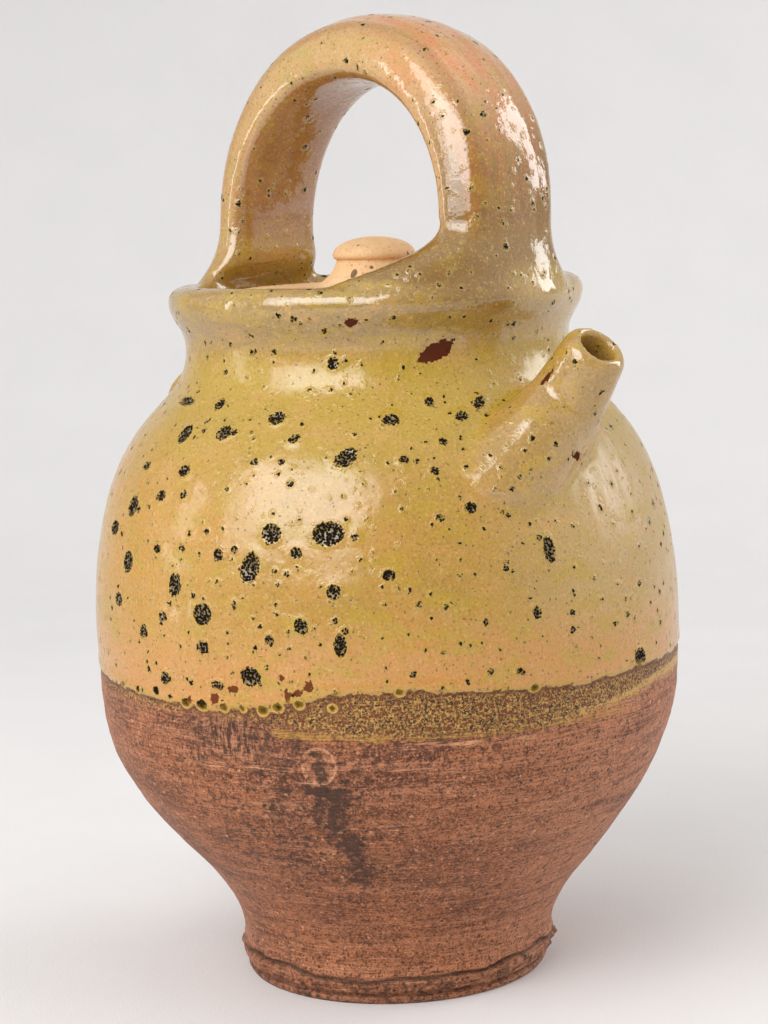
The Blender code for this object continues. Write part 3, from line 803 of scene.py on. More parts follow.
def strap_weights(points, facing, gap, handle):
    """How far points belong to the strap, its edges, inner face and roots, and where they lie along it."""
    height = points[:, 2]
    across = points[:, 1] - handle.lean_at(height)
    lateral = np.abs(across) / (handle.sizes.strap_width / 2)
    up = np.maximum(height - handle.arch_height, 0.0)
    reach = np.hypot(points[:, 0], up) + SHARED_POINT
    outward = (facing[:, 0] * points[:, 0] + facing[:, 2] * up) / reach
    over_rim = (height - handle.outline.rim_height) / MM
    front = ramp(points[:, 0], 5 * MM, 30 * MM)
    root = ramp(gap, 0.8 * MM, 2.5 * MM) * ramp(over_rim, -16, -6) * (1 - ramp(over_rim, 4, 26))
    root *= ramp(points[:, 0], 25 * MM, 42 * MM)
    root *= 1 - ramp(bearing_of(points), -16, 2) * (1 - ramp(over_rim, -2, 8))
    arch = np.arctan2(up, np.abs(points[:, 0]) + SHARED_POINT)
    return {
        "handle": ramp(over_rim, 4, 20),
        "smear": 0.8 * root,
        "strap_edge": ramp(lateral, 0.58, 0.92) * (1 - 0.6 * front),
        "strap_inside": ramp(-outward, 0.35, 0.85),
        "leg": front * (1 - ramp(over_rim, 26, 62)) * ramp(outward, -0.3, 0.3),
        "strap_across": across / MM,
        "strap_along": np.minimum(height, handle.arch_height) / MM + 52 * arch,
    }


def write_attributes(piece, values):
    for name, value in values.items():
        layer = piece.data.attributes.new(name, "FLOAT", "POINT")
        layer.data.foreach_set("value", np.asarray(value, dtype=np.float32))


# Materials

class Recipe:
    """Adds and joins the shader nodes of one material."""

    def __init__(self, name):
        self.material = bpy.data.materials.new(name)
        self.material.use_nodes = True
        self.tree = self.material.node_tree
        self.shader = self.tree.nodes["Principled BSDF"]
        self.object_place = self.add("ShaderNodeTexCoord").outputs["Object"]

    def add(self, kind, **settings):
        node = self.tree.nodes.new(kind)
        for name, value in settings.items():
            setattr(node, name, value)
        return node

    def feed(self, socket, value):
        if isinstance(value, bpy.types.NodeSocket):
            self.tree.links.new(value, socket)
        elif socket.type == "RGBA":
            socket.default_value = (*value, 1.0)
        else:
            socket.default_value = value

    def math(self, operation, first, second=0.0, third=0.0):
        node = self.add("ShaderNodeMath", operation=operation)
        for socket, value in zip(node.inputs, (first, second, third)):
            self.feed(socket, value)
        return node.outputs[0]

    def step(self, value, low, high, start=0.0, end=1.0):
        """start below low, end above high, eased between."""
        node = self.add("ShaderNodeMapRange", interpolation_type="SMOOTHSTEP")
        limits = {"Value": value, "From Min": low, "From Max": high, "To Min": start, "To Max": end}
        for name, item in limits.items():
            self.feed(node.inputs[name], item)
        return node.outputs[0]

    def mix(self, share, first, second):
        node = self.add("ShaderNodeMix", data_type="RGBA")
        for index, value in zip((0, 6, 7), (share, first, second)):
            self.feed(node.inputs[index], value)
        return node.outputs[2]

    def layers(self, colour, *coats):
        """Lays coats on a colour in order, each a share and a paint."""
        for share, paint in coats:
            colour = self.mix(share, colour, paint)
        return colour

    def stretched(self, scale):
        node = self.add("ShaderNodeMapping")
        self.feed(node.inputs["Vector"], self.object_place)
        node.inputs["Scale"].default_value = scale
        return node.outputs[0]

    def texture(self, kind, size, place=None):
        """A texture node whose features are about one size across."""
        node = self.add(kind)
        self.feed(node.inputs["Vector"], place or self.object_place)
        node.inputs["Scale"].default_value = 1.0 / size
        return node

    def shaken(self, size, reach):
        """The object place moved to and fro, so that what reads it gets ragged edges."""
        noise = self.texture("ShaderNodeTexNoise", size)
        shift = self.add("ShaderNodeVectorMath", operation="MULTIPLY_ADD")
        self.feed(shift.inputs[0], noise.outputs["Color"])
        shift.inputs[1].default_value = (2 * reach,) * 3
        self.feed(shift.inputs[2], self.object_place)
        return shift.outputs[0]

    def noise(self, size, detail=2.0, rough=0.5, place=None):
        """Noise from 0 to 1."""
        node = self.texture("ShaderNodeTexNoise", size, place)
        node.inputs["Detail"].default_value = detail
        node.inputs["Roughness"].default_value = rough
        return node.outputs["Fac"]

    def frayed(self, value, size, reach, detail=2.0, rough=0.5):
        """A value with noise from -reach to reach added."""
        return self.math("ADD", value, self.centred(self.noise(size, detail, rough), reach))

    def attribute(self, name):
        return self.add("ShaderNodeAttribute", attribute_name=name).outputs["Fac"]

    def spots(self, size, radius, share, place=None):
        """Depth, in cells, into round spots of varied size: one to a cell, in a share of the cells."""
        node = self.texture("ShaderNodeTexVoronoi", size, place)
        picked = self.add("ShaderNodeSeparateColor")
        self.feed(picked.inputs[0], node.outputs["Color"])
        chosen = self.math("LESS_THAN", picked.outputs[0], share)
        limit = self.math("MULTIPLY_ADD", picked.outputs[1], 0.75 * radius, 0.35 * radius)
        limit = self.math("MULTIPLY_ADD", chosen, 1.0, self.math("SUBTRACT", limit, 1.0))
        return self.math("SUBTRACT", limit, node.outputs["Distance"])

    def specks(self, size, radius, share, place=None):
        """1 inside small spots."""
        return self.step(self.spots(size, radius, share, place), -0.03, 0.03)

    def total(self, *values):
        whole = values[0]
        for value in values[1:]:
            whole = self.math("ADD", whole, value)
        return whole

    def weighed(self, value, weight):
        return self.math("MULTIPLY", value, weight)

    def sum_of(self, *parts):
        """The sum of values, each times its weight."""
        return self.total(*(self.weighed(value, weight) for value, weight in parts))

    def centred(self, value, reach):
        """A 0 to 1 value spread from -reach to reach."""
        return self.math("MULTIPLY_ADD", value, 2.0 * reach, -reach)

    def bump(self, height, distance):
        node = self.add("ShaderNodeBump")
        self.feed(node.inputs["Height"], height)
        node.inputs["Distance"].default_value = distance
        return node.outputs[0]

    def finish(self, colour, roughness, normal, ior):
        self.feed(self.shader.inputs["Base Color"], colour)
        self.feed(self.shader.inputs["Roughness"], roughness)
        self.feed(self.shader.inputs["Normal"], normal)
        self.shader.inputs["IOR"].default_value = ior
        return self.material


def handle_colour(r, c):
    """Pink and peach runs along the strap, olive edges, painted shade over brown glaze inside it and along a
    groove on its -Y side, and brown low on the leg by the spout.
    """
    run = r.add("ShaderNodeCombineXYZ")
    r.feed(run.inputs[0], r.weighed(r.attribute("strap_across"), 0.30))
    r.feed(run.inputs[1], r.weighed(r.attribute("strap_along"), 0.045))
    run = r.noise(1.0, 3, 0.6, run.outputs[0])
    groove = r.math("ABSOLUTE", r.math("ADD", r.attribute("strap_across"), 13.0))
    return r.layers(
        r.mix(r.step(run, 0.40, 0.60), c.handle_pink, c.handle_peach),
        (r.step(run, 0.30, 0.42, 0.6, 0.0), c.handle_olive),
        (r.weighed(r.attribute("strap_edge"), r.step(run, 0.3, 0.6, 1.0, 0.5)), c.handle_olive),
        # Painted shade: the brown glaze darkened along the groove on the strap's -Y side and over its inner
        # face under the arch.
        (r.step(groove, 0.5, 3.0, 0.55, 0.0), c.handle_shaded_brown),
        (r.attribute("strap_inside"), c.handle_shaded_brown),
        (r.weighed(r.attribute("leg"), 0.95), r.mix(r.step(run, 0.4, 0.6), c.leg, c.smear)),
    )


def glaze_colour(r, c, cloud):
    """The ochre glaze before its spots: zones, clouds and mottles."""
    mottle = r.noise(2.8 * MM, 3, 0.65)
    colour = r.mix(r.step(r.noise(24 * MM, 3, 0.55), 0.38, 0.62), c.ochre, c.ochre_deep)
    for name in ("beige", "olive", "orange", "peach", "collar"):
        colour = r.mix(r.attribute(name), colour, getattr(c, name))
    blush = r.step(r.total(cloud, r.centred(mottle, 0.15)), 0.45, 0.65, 0.0, 0.6)
    calm = r.math("MULTIPLY_ADD", r.attribute("handle"), -0.6, 1.0)
    return r.layers(
        colour,
        (r.attribute("handle"), handle_colour(r, c)),
        (r.attribute("spout"), r.mix(blush, c.spout, c.pink)),
        (r.weighed(r.step(cloud, 0.50, 0.62, 0.0, 0.65), calm), c.hollow),
        (r.weighed(r.step(cloud, 0.36, 0.47, 0.45, 0.0), calm), c.pink),
        (r.weighed(r.step(mottle, 0.52, 0.64, 0.0, 0.25), calm), c.pink),
        (r.weighed(r.step(mottle, 0.34, 0.46, 0.30, 0.0), calm), c.hollow),
        (r.weighed(r.attribute("smear"), r.step(cloud, 0.3, 0.7, 1.1, 0.8)), c.smear),
    )


def glaze_layer(r, c):
    """Colour, height in millimetres, roughness and sheen of the ochre glaze."""
    cloud = r.noise(13 * MM, 4, 0.6, r.stretched((1.0, 1.0, 2.0)))
    grain = r.noise(0.75 * MM, 2, 0.65)
    ragged = r.shaken(0.8 * MM, 0.40 * MM)
    dots = r.step(r.spots(1.7 * MM, 0.20, 0.60, ragged), -0.04, 0.06)
    hem = r.step(r.spots(1.8 * MM, 0.30, 0.85, ragged), -0.02, 0.04)
    hem = r.weighed(hem, r.step(r.attribute("above_line"), 0.8, 2.6, 0.85, 0.0))
    hollows = r.spots(6 * MM, 0.26, 0.75, ragged)
    hollows = r.step(r.math("ADD", hollows, r.centred(r.attribute("pitted"), 0.35)), 0.25, 0.40)
    depth = r.math("MAXIMUM", r.attribute("blister"), r.weighed(r.spots(6.0 * MM, 0.155, 0.85, ragged), 6.0))
    depth = r.math("MAXIMUM", depth, r.weighed(r.spots(3.4 * MM, 0.16, 0.65, ragged), 3.4))
    depth = r.frayed(depth, 0.8 * MM, 0.7, 2, 0.6)
    around = r.step(depth, -1.0, 0.0)
    pocket = r.texture("ShaderNodeTexVoronoi", 0.64 * MM, r.shaken(0.5 * MM, 0.08 * MM)).outputs["Distance"]
    pits = r.weighed(r.step(depth, -0.12, 0.10), r.step(pocket, 0.50, 0.68, 1.0, 0.0))
    ring = r.frayed(r.attribute("ring"), 1.1 * MM, 0.6)
    eye = r.step(ring, 0.05, 0.35)
    bare = r.step(r.frayed(r.attribute("bare"), 2.0 * MM, 1.4, 3, 0.7), -0.05, 0.05)
    colour = r.layers(
        glaze_colour(r, c, cloud),
        (r.step(grain, 0.54, 0.72, 0.0, 0.45), c.speck),
        (r.step(grain, 0.28, 0.44, 0.40, 0.0), c.pale),
        (r.weighed(dots, 0.80), c.speck),
        (hem, c.rust),
        (r.weighed(hollows, 0.7), c.grey),
        (r.weighed(around, 0.50), c.hollow),
        (r.weighed(r.step(depth, 0.0, 0.6), 0.9), c.comb),
        (pits, c.iron),
        (r.step(ring, -0.1, 0.15, 0.0, 0.35), c.pool),
        (eye, c.iron),
        (bare, r.mix(r.attribute("peach"), c.bare, c.clay_dark)),
    )
    skin = r.sum_of((r.noise(5 * MM, 1), 0.17), (r.noise(1.3 * MM, 1), 0.040), (grain, 0.012))
    sunk = r.sum_of((dots, -0.05), (around, 0.12), (pits, -0.40), (hollows, -0.55), (bare, -0.12),
                    (r.step(ring, -0.1, 0.3), 0.15), (eye, -0.35))
    dark = r.math("MAXIMUM", pits, r.math("MAXIMUM", eye, bare))
    gloss = r.step(r.attribute("shine"), 0.0, 1.0, 0.19, 0.07)
    uneven = r.weighed(r.centred(cloud, 0.5), 0.12)
    gloss = r.total(gloss, r.weighed(dark, 0.30), r.weighed(r.attribute("pitted"), 0.20), uneven)
    sheen = r.math("MULTIPLY_ADD", r.attribute("shine"), 0.18, 0.5)
    return colour, r.total(skin, sunk), gloss, r.weighed(sheen, r.math("SUBTRACT", 1.0, dark))


def thin_lines(r, wave, line, edge):
    """1 where a wave is within line of its middle, and 0 beyond edge."""
    return r.step(r.math("ABSOLUTE", r.math("SUBTRACT", wave, 0.5)), line, edge, 1.0, 0.0)


def band_layer(r, c):
    """Colour, share and gold of the band where thin glaze broke into gold curls over dark clay."""
    wave = r.noise(1.5 * MM, 2, 0.6)
    curl = thin_lines(r, wave, 0.015, 0.045)
    spot = r.step(r.sum_of((r.noise(0.7 * MM, 2, 0.7), 0.8), (wave, 0.2)), 0.50, 0.57)
    gold = r.math("MAXIMUM", r.weighed(curl, 0.55), r.weighed(spot, 0.9))
    gold = r.math("MAXIMUM", gold, r.step(r.frayed(r.attribute("band_gold"), 0.7 * MM, 0.7), 0.45, 0.75))
    shade = r.mix(r.step(wave, 0.35, 0.65), c.band, c.soot)
    edge = r.frayed(r.frayed(r.attribute("above_band"), 7 * MM, 3.0, 3), 0.9 * MM, 2.2)
    return r.mix(gold, shade, c.band_gold), r.step(edge, -1.5, 1.5), gold


def clay_colour(r, c, streaks, crust, grain):
    """The bare clay before its flecks: zones, painted light towards its silhouettes, turning lines and
    scorched crust.
    """
    wide = r.noise(40 * MM, 4, 0.62, r.stretched((1.0, 1.0, 12.0)))
    return r.layers(
        r.mix(r.step(r.noise(22 * MM, 3, 0.6), 0.38, 0.62), c.clay_dark, c.clay),
        # Painted light: the clay paler towards its silhouettes, and a little paler low down.
        (r.attribute("flash"), c.clay_light),
        (r.step(wide, 0.50, 0.62, 0.0, 0.65), c.clay_light),
        (r.step(wide, 0.35, 0.47, 0.80, 0.0), c.clay_dark),
        (r.step(streaks, 0.54, 0.68, 0.0, 0.35), c.salmon),
        (r.step(streaks, 0.32, 0.45, 0.40, 0.0), c.soot),
        (r.step(crust, 0.52, 0.62, 0.0, 0.55), c.clay_dark),
        (r.step(crust, 0.36, 0.46, 0.50, 0.0), c.clay_light),
        (r.step(grain, 0.51, 0.62, 0.0, 0.70), c.clay_light),
        (r.step(grain, 0.36, 0.47, 0.85, 0.0), c.soot),
    )


def clay_layer(r, c):
    """Colour, height in millimetres and roughness of the bare red clay, turned, scraped and smoked, with
    painted light towards its edges and on the foot's seam, and painted shade over the foot.
    """
    streaks = r.noise(20 * MM, 4, 0.7, r.stretched((1.0, 1.0, 26.0)))
    grain = r.noise(0.70 * MM, 2, 0.7)
    crust = r.noise(2.0 * MM, 3, 0.7)
    grooves = thin_lines(r, r.noise(26 * MM, 2, 0.5, r.stretched((1.0, 1.0, 22.0))), 0.0044, 0.022)
    scratches = thin_lines(r, r.noise(34 * MM, 2, 0.5, r.stretched((1.1, 0.9, 20.0))), 0.0028, 0.014)
    brushed = r.step(r.noise(0.9 * MM, 2, 0.6, r.stretched((1.0, 1.0, 0.14))), 0.42, 0.58, -1.0, 1.0)
    brushed = r.weighed(r.attribute("hatch"), brushed)
    ragged = r.shaken(1.1 * MM, 0.35 * MM)
    flecks = r.specks(3.2 * MM, 0.17, 0.85, ragged)
    pits = r.specks(2.6 * MM, 0.18, 0.70, ragged)
    rough_line = r.centred(r.noise(8 * MM, 3, 0.8, r.stretched((1.0, 1.0, 14.0))), 1.5)
    drag = r.step(r.math("ADD", r.attribute("drag"), rough_line), 0.60, 1.0)
    gold = r.step(r.math("ADD", r.attribute("gold_drag"), rough_line), 0.55, 0.85)
    scar = r.math("ADD", r.attribute("scar"), r.centred(crust, 0.6))
    ring = r.weighed(r.step(scar, -0.1, 0.15), r.step(scar, 0.5, 1.1, 0.95, 0.18))
    patchy = r.sum_of((crust, 0.5), (streaks, 0.3), (r.noise(6 * MM, 2), 0.2))
    smoke_and_shade = r.math("ADD", r.attribute("soot"), r.centred(patchy, 3.2))
    colour = r.layers(
        clay_colour(r, c, streaks, crust, grain),
        (r.weighed(grooves, r.step(crust, 0.40, 0.60, 0.05, 0.60)), c.soot),
        (r.weighed(scratches, r.step(crust, 0.40, 0.60, 0.50, 0.05)), c.salmon),
        (r.weighed(r.math("MAXIMUM", brushed, 0.0), 0.35), c.salmon),
        (r.math("MAXIMUM", r.weighed(brushed, -0.9), 0.0), c.soot),
        (r.weighed(flecks, 0.80), c.salmon),
        (r.weighed(r.specks(1.5 * MM, 0.20, 0.75), 0.65), c.salmon),
        (r.weighed(pits, 0.80), c.soot),
        # Pale drags, the one along the foot's seam a painted highlight.
        (r.weighed(drag, 0.85), c.salmon),
        (r.weighed(gold, 0.65), c.band_gold),
        (r.weighed(ring, r.step(crust, 0.40, 0.65, 1.0, 0.45)), c.salmon),
        # Smoke, and painted shade over the foot.
        (r.step(smoke_and_shade, 0.35, 1.3, 0.0, 0.88), c.soot),
        (r.weighed(r.attribute("seam"), 0.9), c.soot),
    )
    height = r.sum_of((grain, 0.36), (crust, 0.50), (streaks, 0.35), (grooves, -0.16), (scratches, 0.10),
                      (brushed, 0.12), (flecks, 0.12), (pits, -0.25), (drag, 0.12))
    return colour, height, r.step(grain, 0.3, 0.7, 0.44, 0.66)


def fired_jug_material(colours):
    """Ochre glaze over red clay, a speckled band at its edge, a painted shadow under the glaze's lip, and
    bare clay below.
    """
    r = Recipe("ochre_glaze_on_red_clay")
    edge = r.frayed(r.attribute("above_line"), 9 * MM, 1.8)
    edge = r.frayed(r.frayed(edge, 1.6 * MM, 1.6, 3, 0.7), 0.7 * MM, 0.5)
    edge = r.math("MAXIMUM", edge, r.math("ADD", r.attribute("ring"), 0.45))
    glazed = r.step(edge, -0.2, 0.2)
    bare = r.math("SUBTRACT", 1.0, glazed)
    glaze, glaze_height, gloss, sheen = glaze_layer(r, colours)
    glaze = r.mix(r.step(edge, 0.2, 1.8, 0.70, 0.0), glaze, colours.pool)
    clay, clay_height, dull = clay_layer(r, colours)
    band, banded, gold = band_layer(r, colours)
    # The band's dark colour is also laid in a strip just under the glaze's edge: a painted shadow under its
    # lip.
    clay = r.layers(clay, (banded, band), (r.step(edge, -1.6, -0.2, 0.0, 0.7), colours.band))
    shiny = r.weighed(gold, banded)
    clay_height = r.total(clay_height, r.weighed(shiny, 0.12))
    dull = r.math("MULTIPLY_ADD", shiny, -0.22, dull)
    dull_sheen = r.math("MULTIPLY_ADD", shiny, 0.2, 0.2)
    r.feed(r.shader.inputs["Specular IOR Level"], r.sum_of((sheen, glazed), (dull_sheen, bare)))
    height = r.sum_of((glaze_height, glazed), (clay_height, bare), (glazed, 0.2))
    rough = r.sum_of((gloss, glazed), (dull, bare))
    return r.finish(r.mix(glazed, clay, glaze), rough, r.bump(height, MM), GLAZE_IOR)


def bare_lid_material(colours):
    """Pale bare clay, matt, with pores and a few iron specks."""
    r = Recipe("bare_pale_clay")
    grain = r.noise(0.9 * MM, 3, 0.7)
    iron = r.specks(3.6 * MM, 0.17, 0.45, r.shaken(0.8 * MM, 0.40 * MM))
    iron = r.math("MAXIMUM", iron, r.step(r.attribute("mark"), -0.1, 0.2))
    pores = r.specks(1.6 * MM, 0.2, 0.6)
    clay = r.layers(
        r.mix(r.step(r.noise(16 * MM, 4, 0.6), 0.35, 0.7), colours.lid_clay, colours.lid_pale),
        (r.step(r.noise(2 * MM, 3, 0.6), 0.5, 0.75, 0.0, 0.4), colours.pores),
        (r.weighed(iron, 0.9), colours.speck),
        (r.weighed(pores, 0.5), colours.pores),
        (r.step(grain, 0.52, 0.72, 0.0, 0.4), colours.pores),
    )
    height = r.total(grain, r.weighed(iron, -1.0), r.weighed(pores, -0.8))
    return r.finish(clay, r.step(grain, 0.3, 0.7, 0.6, 0.8), r.bump(height, 0.25 * MM), CLAY_IOR)


def stage_material(name, colour):
    r = Recipe(name)
    cloud = r.step(r.noise(60 * MM, 3), 0.3, 0.7, 0.0, 0.06)
    weave = r.bump(r.noise(0.8 * MM, 2), 0.1 * MM)
    return r.finish(r.mix(cloud, colour, LINEN_SHADE), LINEN_ROUGHNESS, weave, LINEN_IOR)


# Handle, spout and ear

def soft_square(count, corner):
    """Directions round a soft-cornered square of half-size 1."""
    points = []
    for k in range(count):
        angle = 2 * math.pi * (k + 0.5) / count
        x = math.copysign(abs(math.cos(angle)) ** (2 / corner), math.cos(angle))
        y = math.copysign(abs(math.sin(angle)) ** (2 / corner), math.sin(angle))
        points.append((x, y))
    return points


class Handle:
    """The basket handle's rings, from the spout-side root over the arch to the rear root."""

    SIDES = 64
    LEG_RINGS = 30
    ARCH_RINGS = 90

    def __init__(self, outline):
        s = outline.sizes
        self.outline = outline
        self.sizes = s
        self.arch_height = outline.rim_height + s.leg_height
        bottom = outline.rim_height - ROOT_DROP
        heights = [mix(bottom, self.arch_height, i / self.LEG_RINGS) for i in range(self.LEG_RINGS)]
        rings = [self.leg_ring(1, height) for height in heights]
        rings += [self.arch_ring(math.pi * i / self.ARCH_RINGS) for i in range(self.ARCH_RINGS + 1)]
        far = [self.leg_ring(-1, height) for height in reversed(heights)]
        rings += [[ring[(-k - 1) % self.SIDES] for k in range(self.SIDES)] for ring in far]
        self.rings = rings

    def lean_at(self, height):
        return math.tan(self.sizes.handle_lean) * (height - self.outline.rim_height - LEAN_CENTRE)

    def strap(self, side):
        """Leg thickness, strap width, half span and sideways shift at 1, the spout side, to -1, the rear."""
        s = self.sizes
        share = (1 + side) / 2
        thickness = s.leg_thickness + SPOUT_LEG_EXTRA * share
        width = s.strap_width + SPOUT_STRAP_EXTRA * share
        return thickness, width, s.lid_radius + LEG_LID_CLEARANCE + thickness / 2, -HANDLE_TWIST * side

    def root_share(self, height, rise):
        return clamp(1 - (height - self.outline.bulge_height) / (rise + RIM_BULGE))

    def leg_ring(self, side, height):
        """One ring of a leg, which widens into its root and, near the spout, into a tail round the rim."""
        s = self.sizes
        o = self.outline
        root = self.root_share(height, ROOT_RISE) ** ROOT_CURVE
        tuck = ease(self.root_share(height, ROOT_TUCK))
        tail_share = 1 - ease((height - o.bulge_height) / TAIL_RISE)
        fade = ease((o.bulge_height - height) / (ROOT_DROP - RIM_BULGE))
        outside = o.radius_at(min(height, o.bulge_height))
        tucked = min(max(o.collar_inner, s.neck_radius - s.wall) + ROOT_OVERLAP / 2, outside - s.wall / 2)
        thickness, width, half_span, shift = self.strap(side)
        inner = mix(half_span - thickness / 2, tucked, tuck)
        outer = mix(half_span + thickness / 2, outside + mix(ROOT_SMEAR, -ROOT_OVERLAP, fade), root)
        ring = []
        plain = soft_square(self.SIDES, mix(STRAP_CORNER, ROOT_CORNER, root))
        square = soft_square(self.SIDES, TAIL_CORNER)
        for soft, hard in zip(plain, square):
            tail = side > 0 and soft[1] < 0
            x, y = hard if tail else soft
            x, y = self.section(x, side * y, side, 1 - root)
            wrap = max(root, clamp(TAIL_WRAP * tail_share)) if tail else root
            spread = (ROOT_TAIL * tail_share if tail else ROOT_SPREAD * root) * (1 - ROOT_NARROWING * fade)
            across = y * (width / 2 + spread) + self.lean_at(height) + shift * (1 - root)
            radius = mix(inner, outer, (x + 1) / 2)
            round_rim = math.sqrt(max(radius * radius - across * across, 0.0))
            ring.append(Vector((side * mix(radius, round_rim, wrap), across, height)))
        return ring

    def section(self, x, y, side, share):
        """The strap's section: two shallow flutes outside, and a -Y edge that slants in to the outer face."""
        flute = FLUTE_DEPTH * share * hill(abs(y), *FLUTE_PLACE) if x > 0 else 0.0
        slant = STRAP_SLANT * share * mix(REAR_SLANT_SHARE, 1.0, (1 + side) / 2) * (1 + x) / 2
        return x * (1 - flute), y * (1 - slant) if y < 0 else y

    def arch_ring(self, angle):
        s = self.sizes
        rise = math.sin(angle)
        leg, width, half_span, shift = self.strap(math.cos(angle))
        thickness = mix(leg, s.arch_thickness, rise)
        ring = []
        for x, y in soft_square(self.SIDES, STRAP_CORNER):
            x, y = self.section(x, y, math.cos(angle), 1.0)
            out = x * thickness / 2
            height = self.arch_height + s.arch_rise * rise + out * rise
            along = half_span * math.cos(angle) + out * math.cos(angle)
            ring.append(Vector((along, y * width / 2 + self.lean_at(height) + shift, height)))
        return ring

    def build(self):

        def place(ring, side):
            return self.rings[ring][side]

        return tube_blank("handle_blank", self.SIDES, len(self.rings), place)


class Spout:
    """The tube spout, rooted in the shoulder below the neck."""

    SIDES = 48
    RINGS = 44

    def __init__(self, outline):
        s = outline.sizes
        height = s.neck_height - s.spout_drop
        self.sizes = s
        self.root = Vector((outline.radius_at(height), 0.0, height))
        self.axis = Vector((math.cos(s.spout_slope), 0.0, math.sin(s.spout_slope)))

    def point(self, distance, radius, side, near=0.0, lobe=0.0):
        across = Vector((0.0, 1.0, 0.0))
        up = self.axis.cross(across)
        angle = 2 * math.pi * side / self.SIDES
        c, s = math.cos(angle), math.sin(angle)
        vertical = SPOUT_TOP_FLARE if s > 0 else SPOUT_UNDER_FLARE
        sideways = SPOUT_NEAR_FLARE if c < 0 else SPOUT_FAR_FLARE
        towards = max(0.0, -c * math.cos(LOBE_TURN) - s * math.sin(LOBE_TURN))
        flare = near * (sideways * c * c + vertical * s * s)
        reach = radius + flare + lobe * LOBE_REACH * towards ** LOBE_SHARPNESS
        sag = SPOUT_SAG * clamp(1 - distance / self.sizes.spout_length) ** SAG_CURVE
        return self.root + self.axis * distance - UP * sag + (across * c + up * s) * reach

    def build(self):
        s = self.sizes
        mouth = s.spout_bore + s.spout_wall

        def place(ring, side):
            distance = mix(s.spout_length, -SPOUT_ROOT_DEPTH, ring / (self.RINGS - 1))
            radius = mix(mouth + SPOUT_TAPER, mouth, clamp(distance / s.spout_length))
            radius -= SPOUT_LIP * (1 - ease((s.spout_length - distance) / LIP_ROUND))
            near = max(1 - distance / SPOUT_FLARE_LENGTH, 0.0) ** SPOUT_FLARE_CURVE
            lobe = clamp(1 - distance / LOBE_RISE) ** LOBE_CURVE
            return self.point(distance, radius, side, near, lobe)

        return tube_blank("spout_blank", self.SIDES, self.RINGS, place)

    def rod(self):
        s = self.sizes
        ends = (s.spout_length + BORE_OVERRUN, -(SPOUT_ROOT_DEPTH + s.wall + BORE_OVERRUN))

        def place(ring, side):
            return self.point(mix(*ends, ring / (self.RINGS - 1)), s.spout_bore, side)

        return tube_blank("bore_rod", self.SIDES, self.RINGS, place)


def ear_blank(outline):
    """The small strap loop on the shoulder at -X."""
    s = outline.sizes
    half = s.ear_thickness / 2
    top_height = s.neck_height - s.ear_drop
    foot_height = top_height - s.ear_height
    top = (outline.radius_at(top_height) - half, top_height)
    foot = (outline.radius_at(foot_height) - half, foot_height)
    reach = outline.radius_at((top_height + foot_height) / 2) + s.ear_stand - half
    bulge = (8 * reach - top[0] - foot[0]) / 6
    path = bezier(top, (bulge, top_height), (bulge, mix(foot_height, top_height, EAR_SAG)), foot, EAR_RINGS)

    def place(ring, side):
        before = path[max(ring - 1, 0)]
        after = path[min(ring + 1, len(path) - 1)]
        run = Vector((after[0] - before[0], 0.0, after[1] - before[1])).normalized()
        root = ease((abs(2 * ring / (len(path) - 1) - 1) - 1 + EAR_ROOT_SHARE) / EAR_ROOT_SHARE)
        x, y = soft_square(EAR_SIDES, EAR_CORNER)[side]
        spot = Vector((path[ring][0], y * (s.ear_width / 2 + EAR_ROOT_SPREAD * root), path[ring][1]))
        spot += Vector((-run.z, 0.0, run.x)) * x * (half + EAR_ROOT_THICKENING * root)
        return Vector((-spot.x, spot.y, spot.z))

    return tube_blank("ear_blank", EAR_SIDES, len(path), place)


# Pieces

def cup_step(point):
    """Distance between rings on the outside of the cup: close over the foot and at the glaze's edge."""
    height = point[1]
    if height < FOOT_TOP:
        return FOOT_STEP
    if GLAZE_EDGE[0] < height < GLAZE_EDGE[1]:
        return FINE_STEP
    return RING_STEP


def make_cup(outline):
    """The jug below the split: foot, lower belly and the floor inside."""
    outer = respace(trim(list(map(tuple, outline.outside)), SPLIT_HEIGHT, -1), cup_step)
    under = respace([(0.0, 0.0), outer[0]], lambda point: INNER_STEP)
    inner = respace(trim(outline.inside(), SPLIT_HEIGHT, -1), lambda point: INNER_STEP)
    piece = spin_line("jug_belly", join_lines(under, outer, inner), CUP_STEPS, closed=False)
    points = places(piece)
    radius = np.hypot(points[:, 0], points[:, 1])
    skin = (np.abs(radius - outline.radius_at(points[:, 2])) < SKIN_DEPTH) & (points[:, 2] > FLAT_HEIGHT)
    outward = points * (1.0, 1.0, 0.0) / np.maximum(radius, MM)[:, None]
    points += outward * (relief(points) * skin)[:, None] + sway(points)
    move_to(piece, points)
    points = places(piece)
    nothing = np.zeros(len(points))
    write_attributes(piece, dict.fromkeys(ADDED_WEIGHTS, nothing) | skin_weights(points, nothing))
    return piece


def twin(piece):
    """A copy of a piece, kept to measure from once the piece itself has been joined to another."""
    copy = piece.copy()
    copy.data = piece.data.copy()
    bpy.context.scene.collection.objects.link(copy)
    return copy


def melt(body, blanks):
    """Joins blanks to the body and runs them all into one skin."""
    only(body)
    for blank in blanks:
        blank.select_set(True)
    bpy.ops.object.join()
    apply_modifier(body, "REMESH", mode="VOXEL", voxel_size=VOXEL)
    apply_modifier(body, "SMOOTH", factor=0.5, iterations=4)


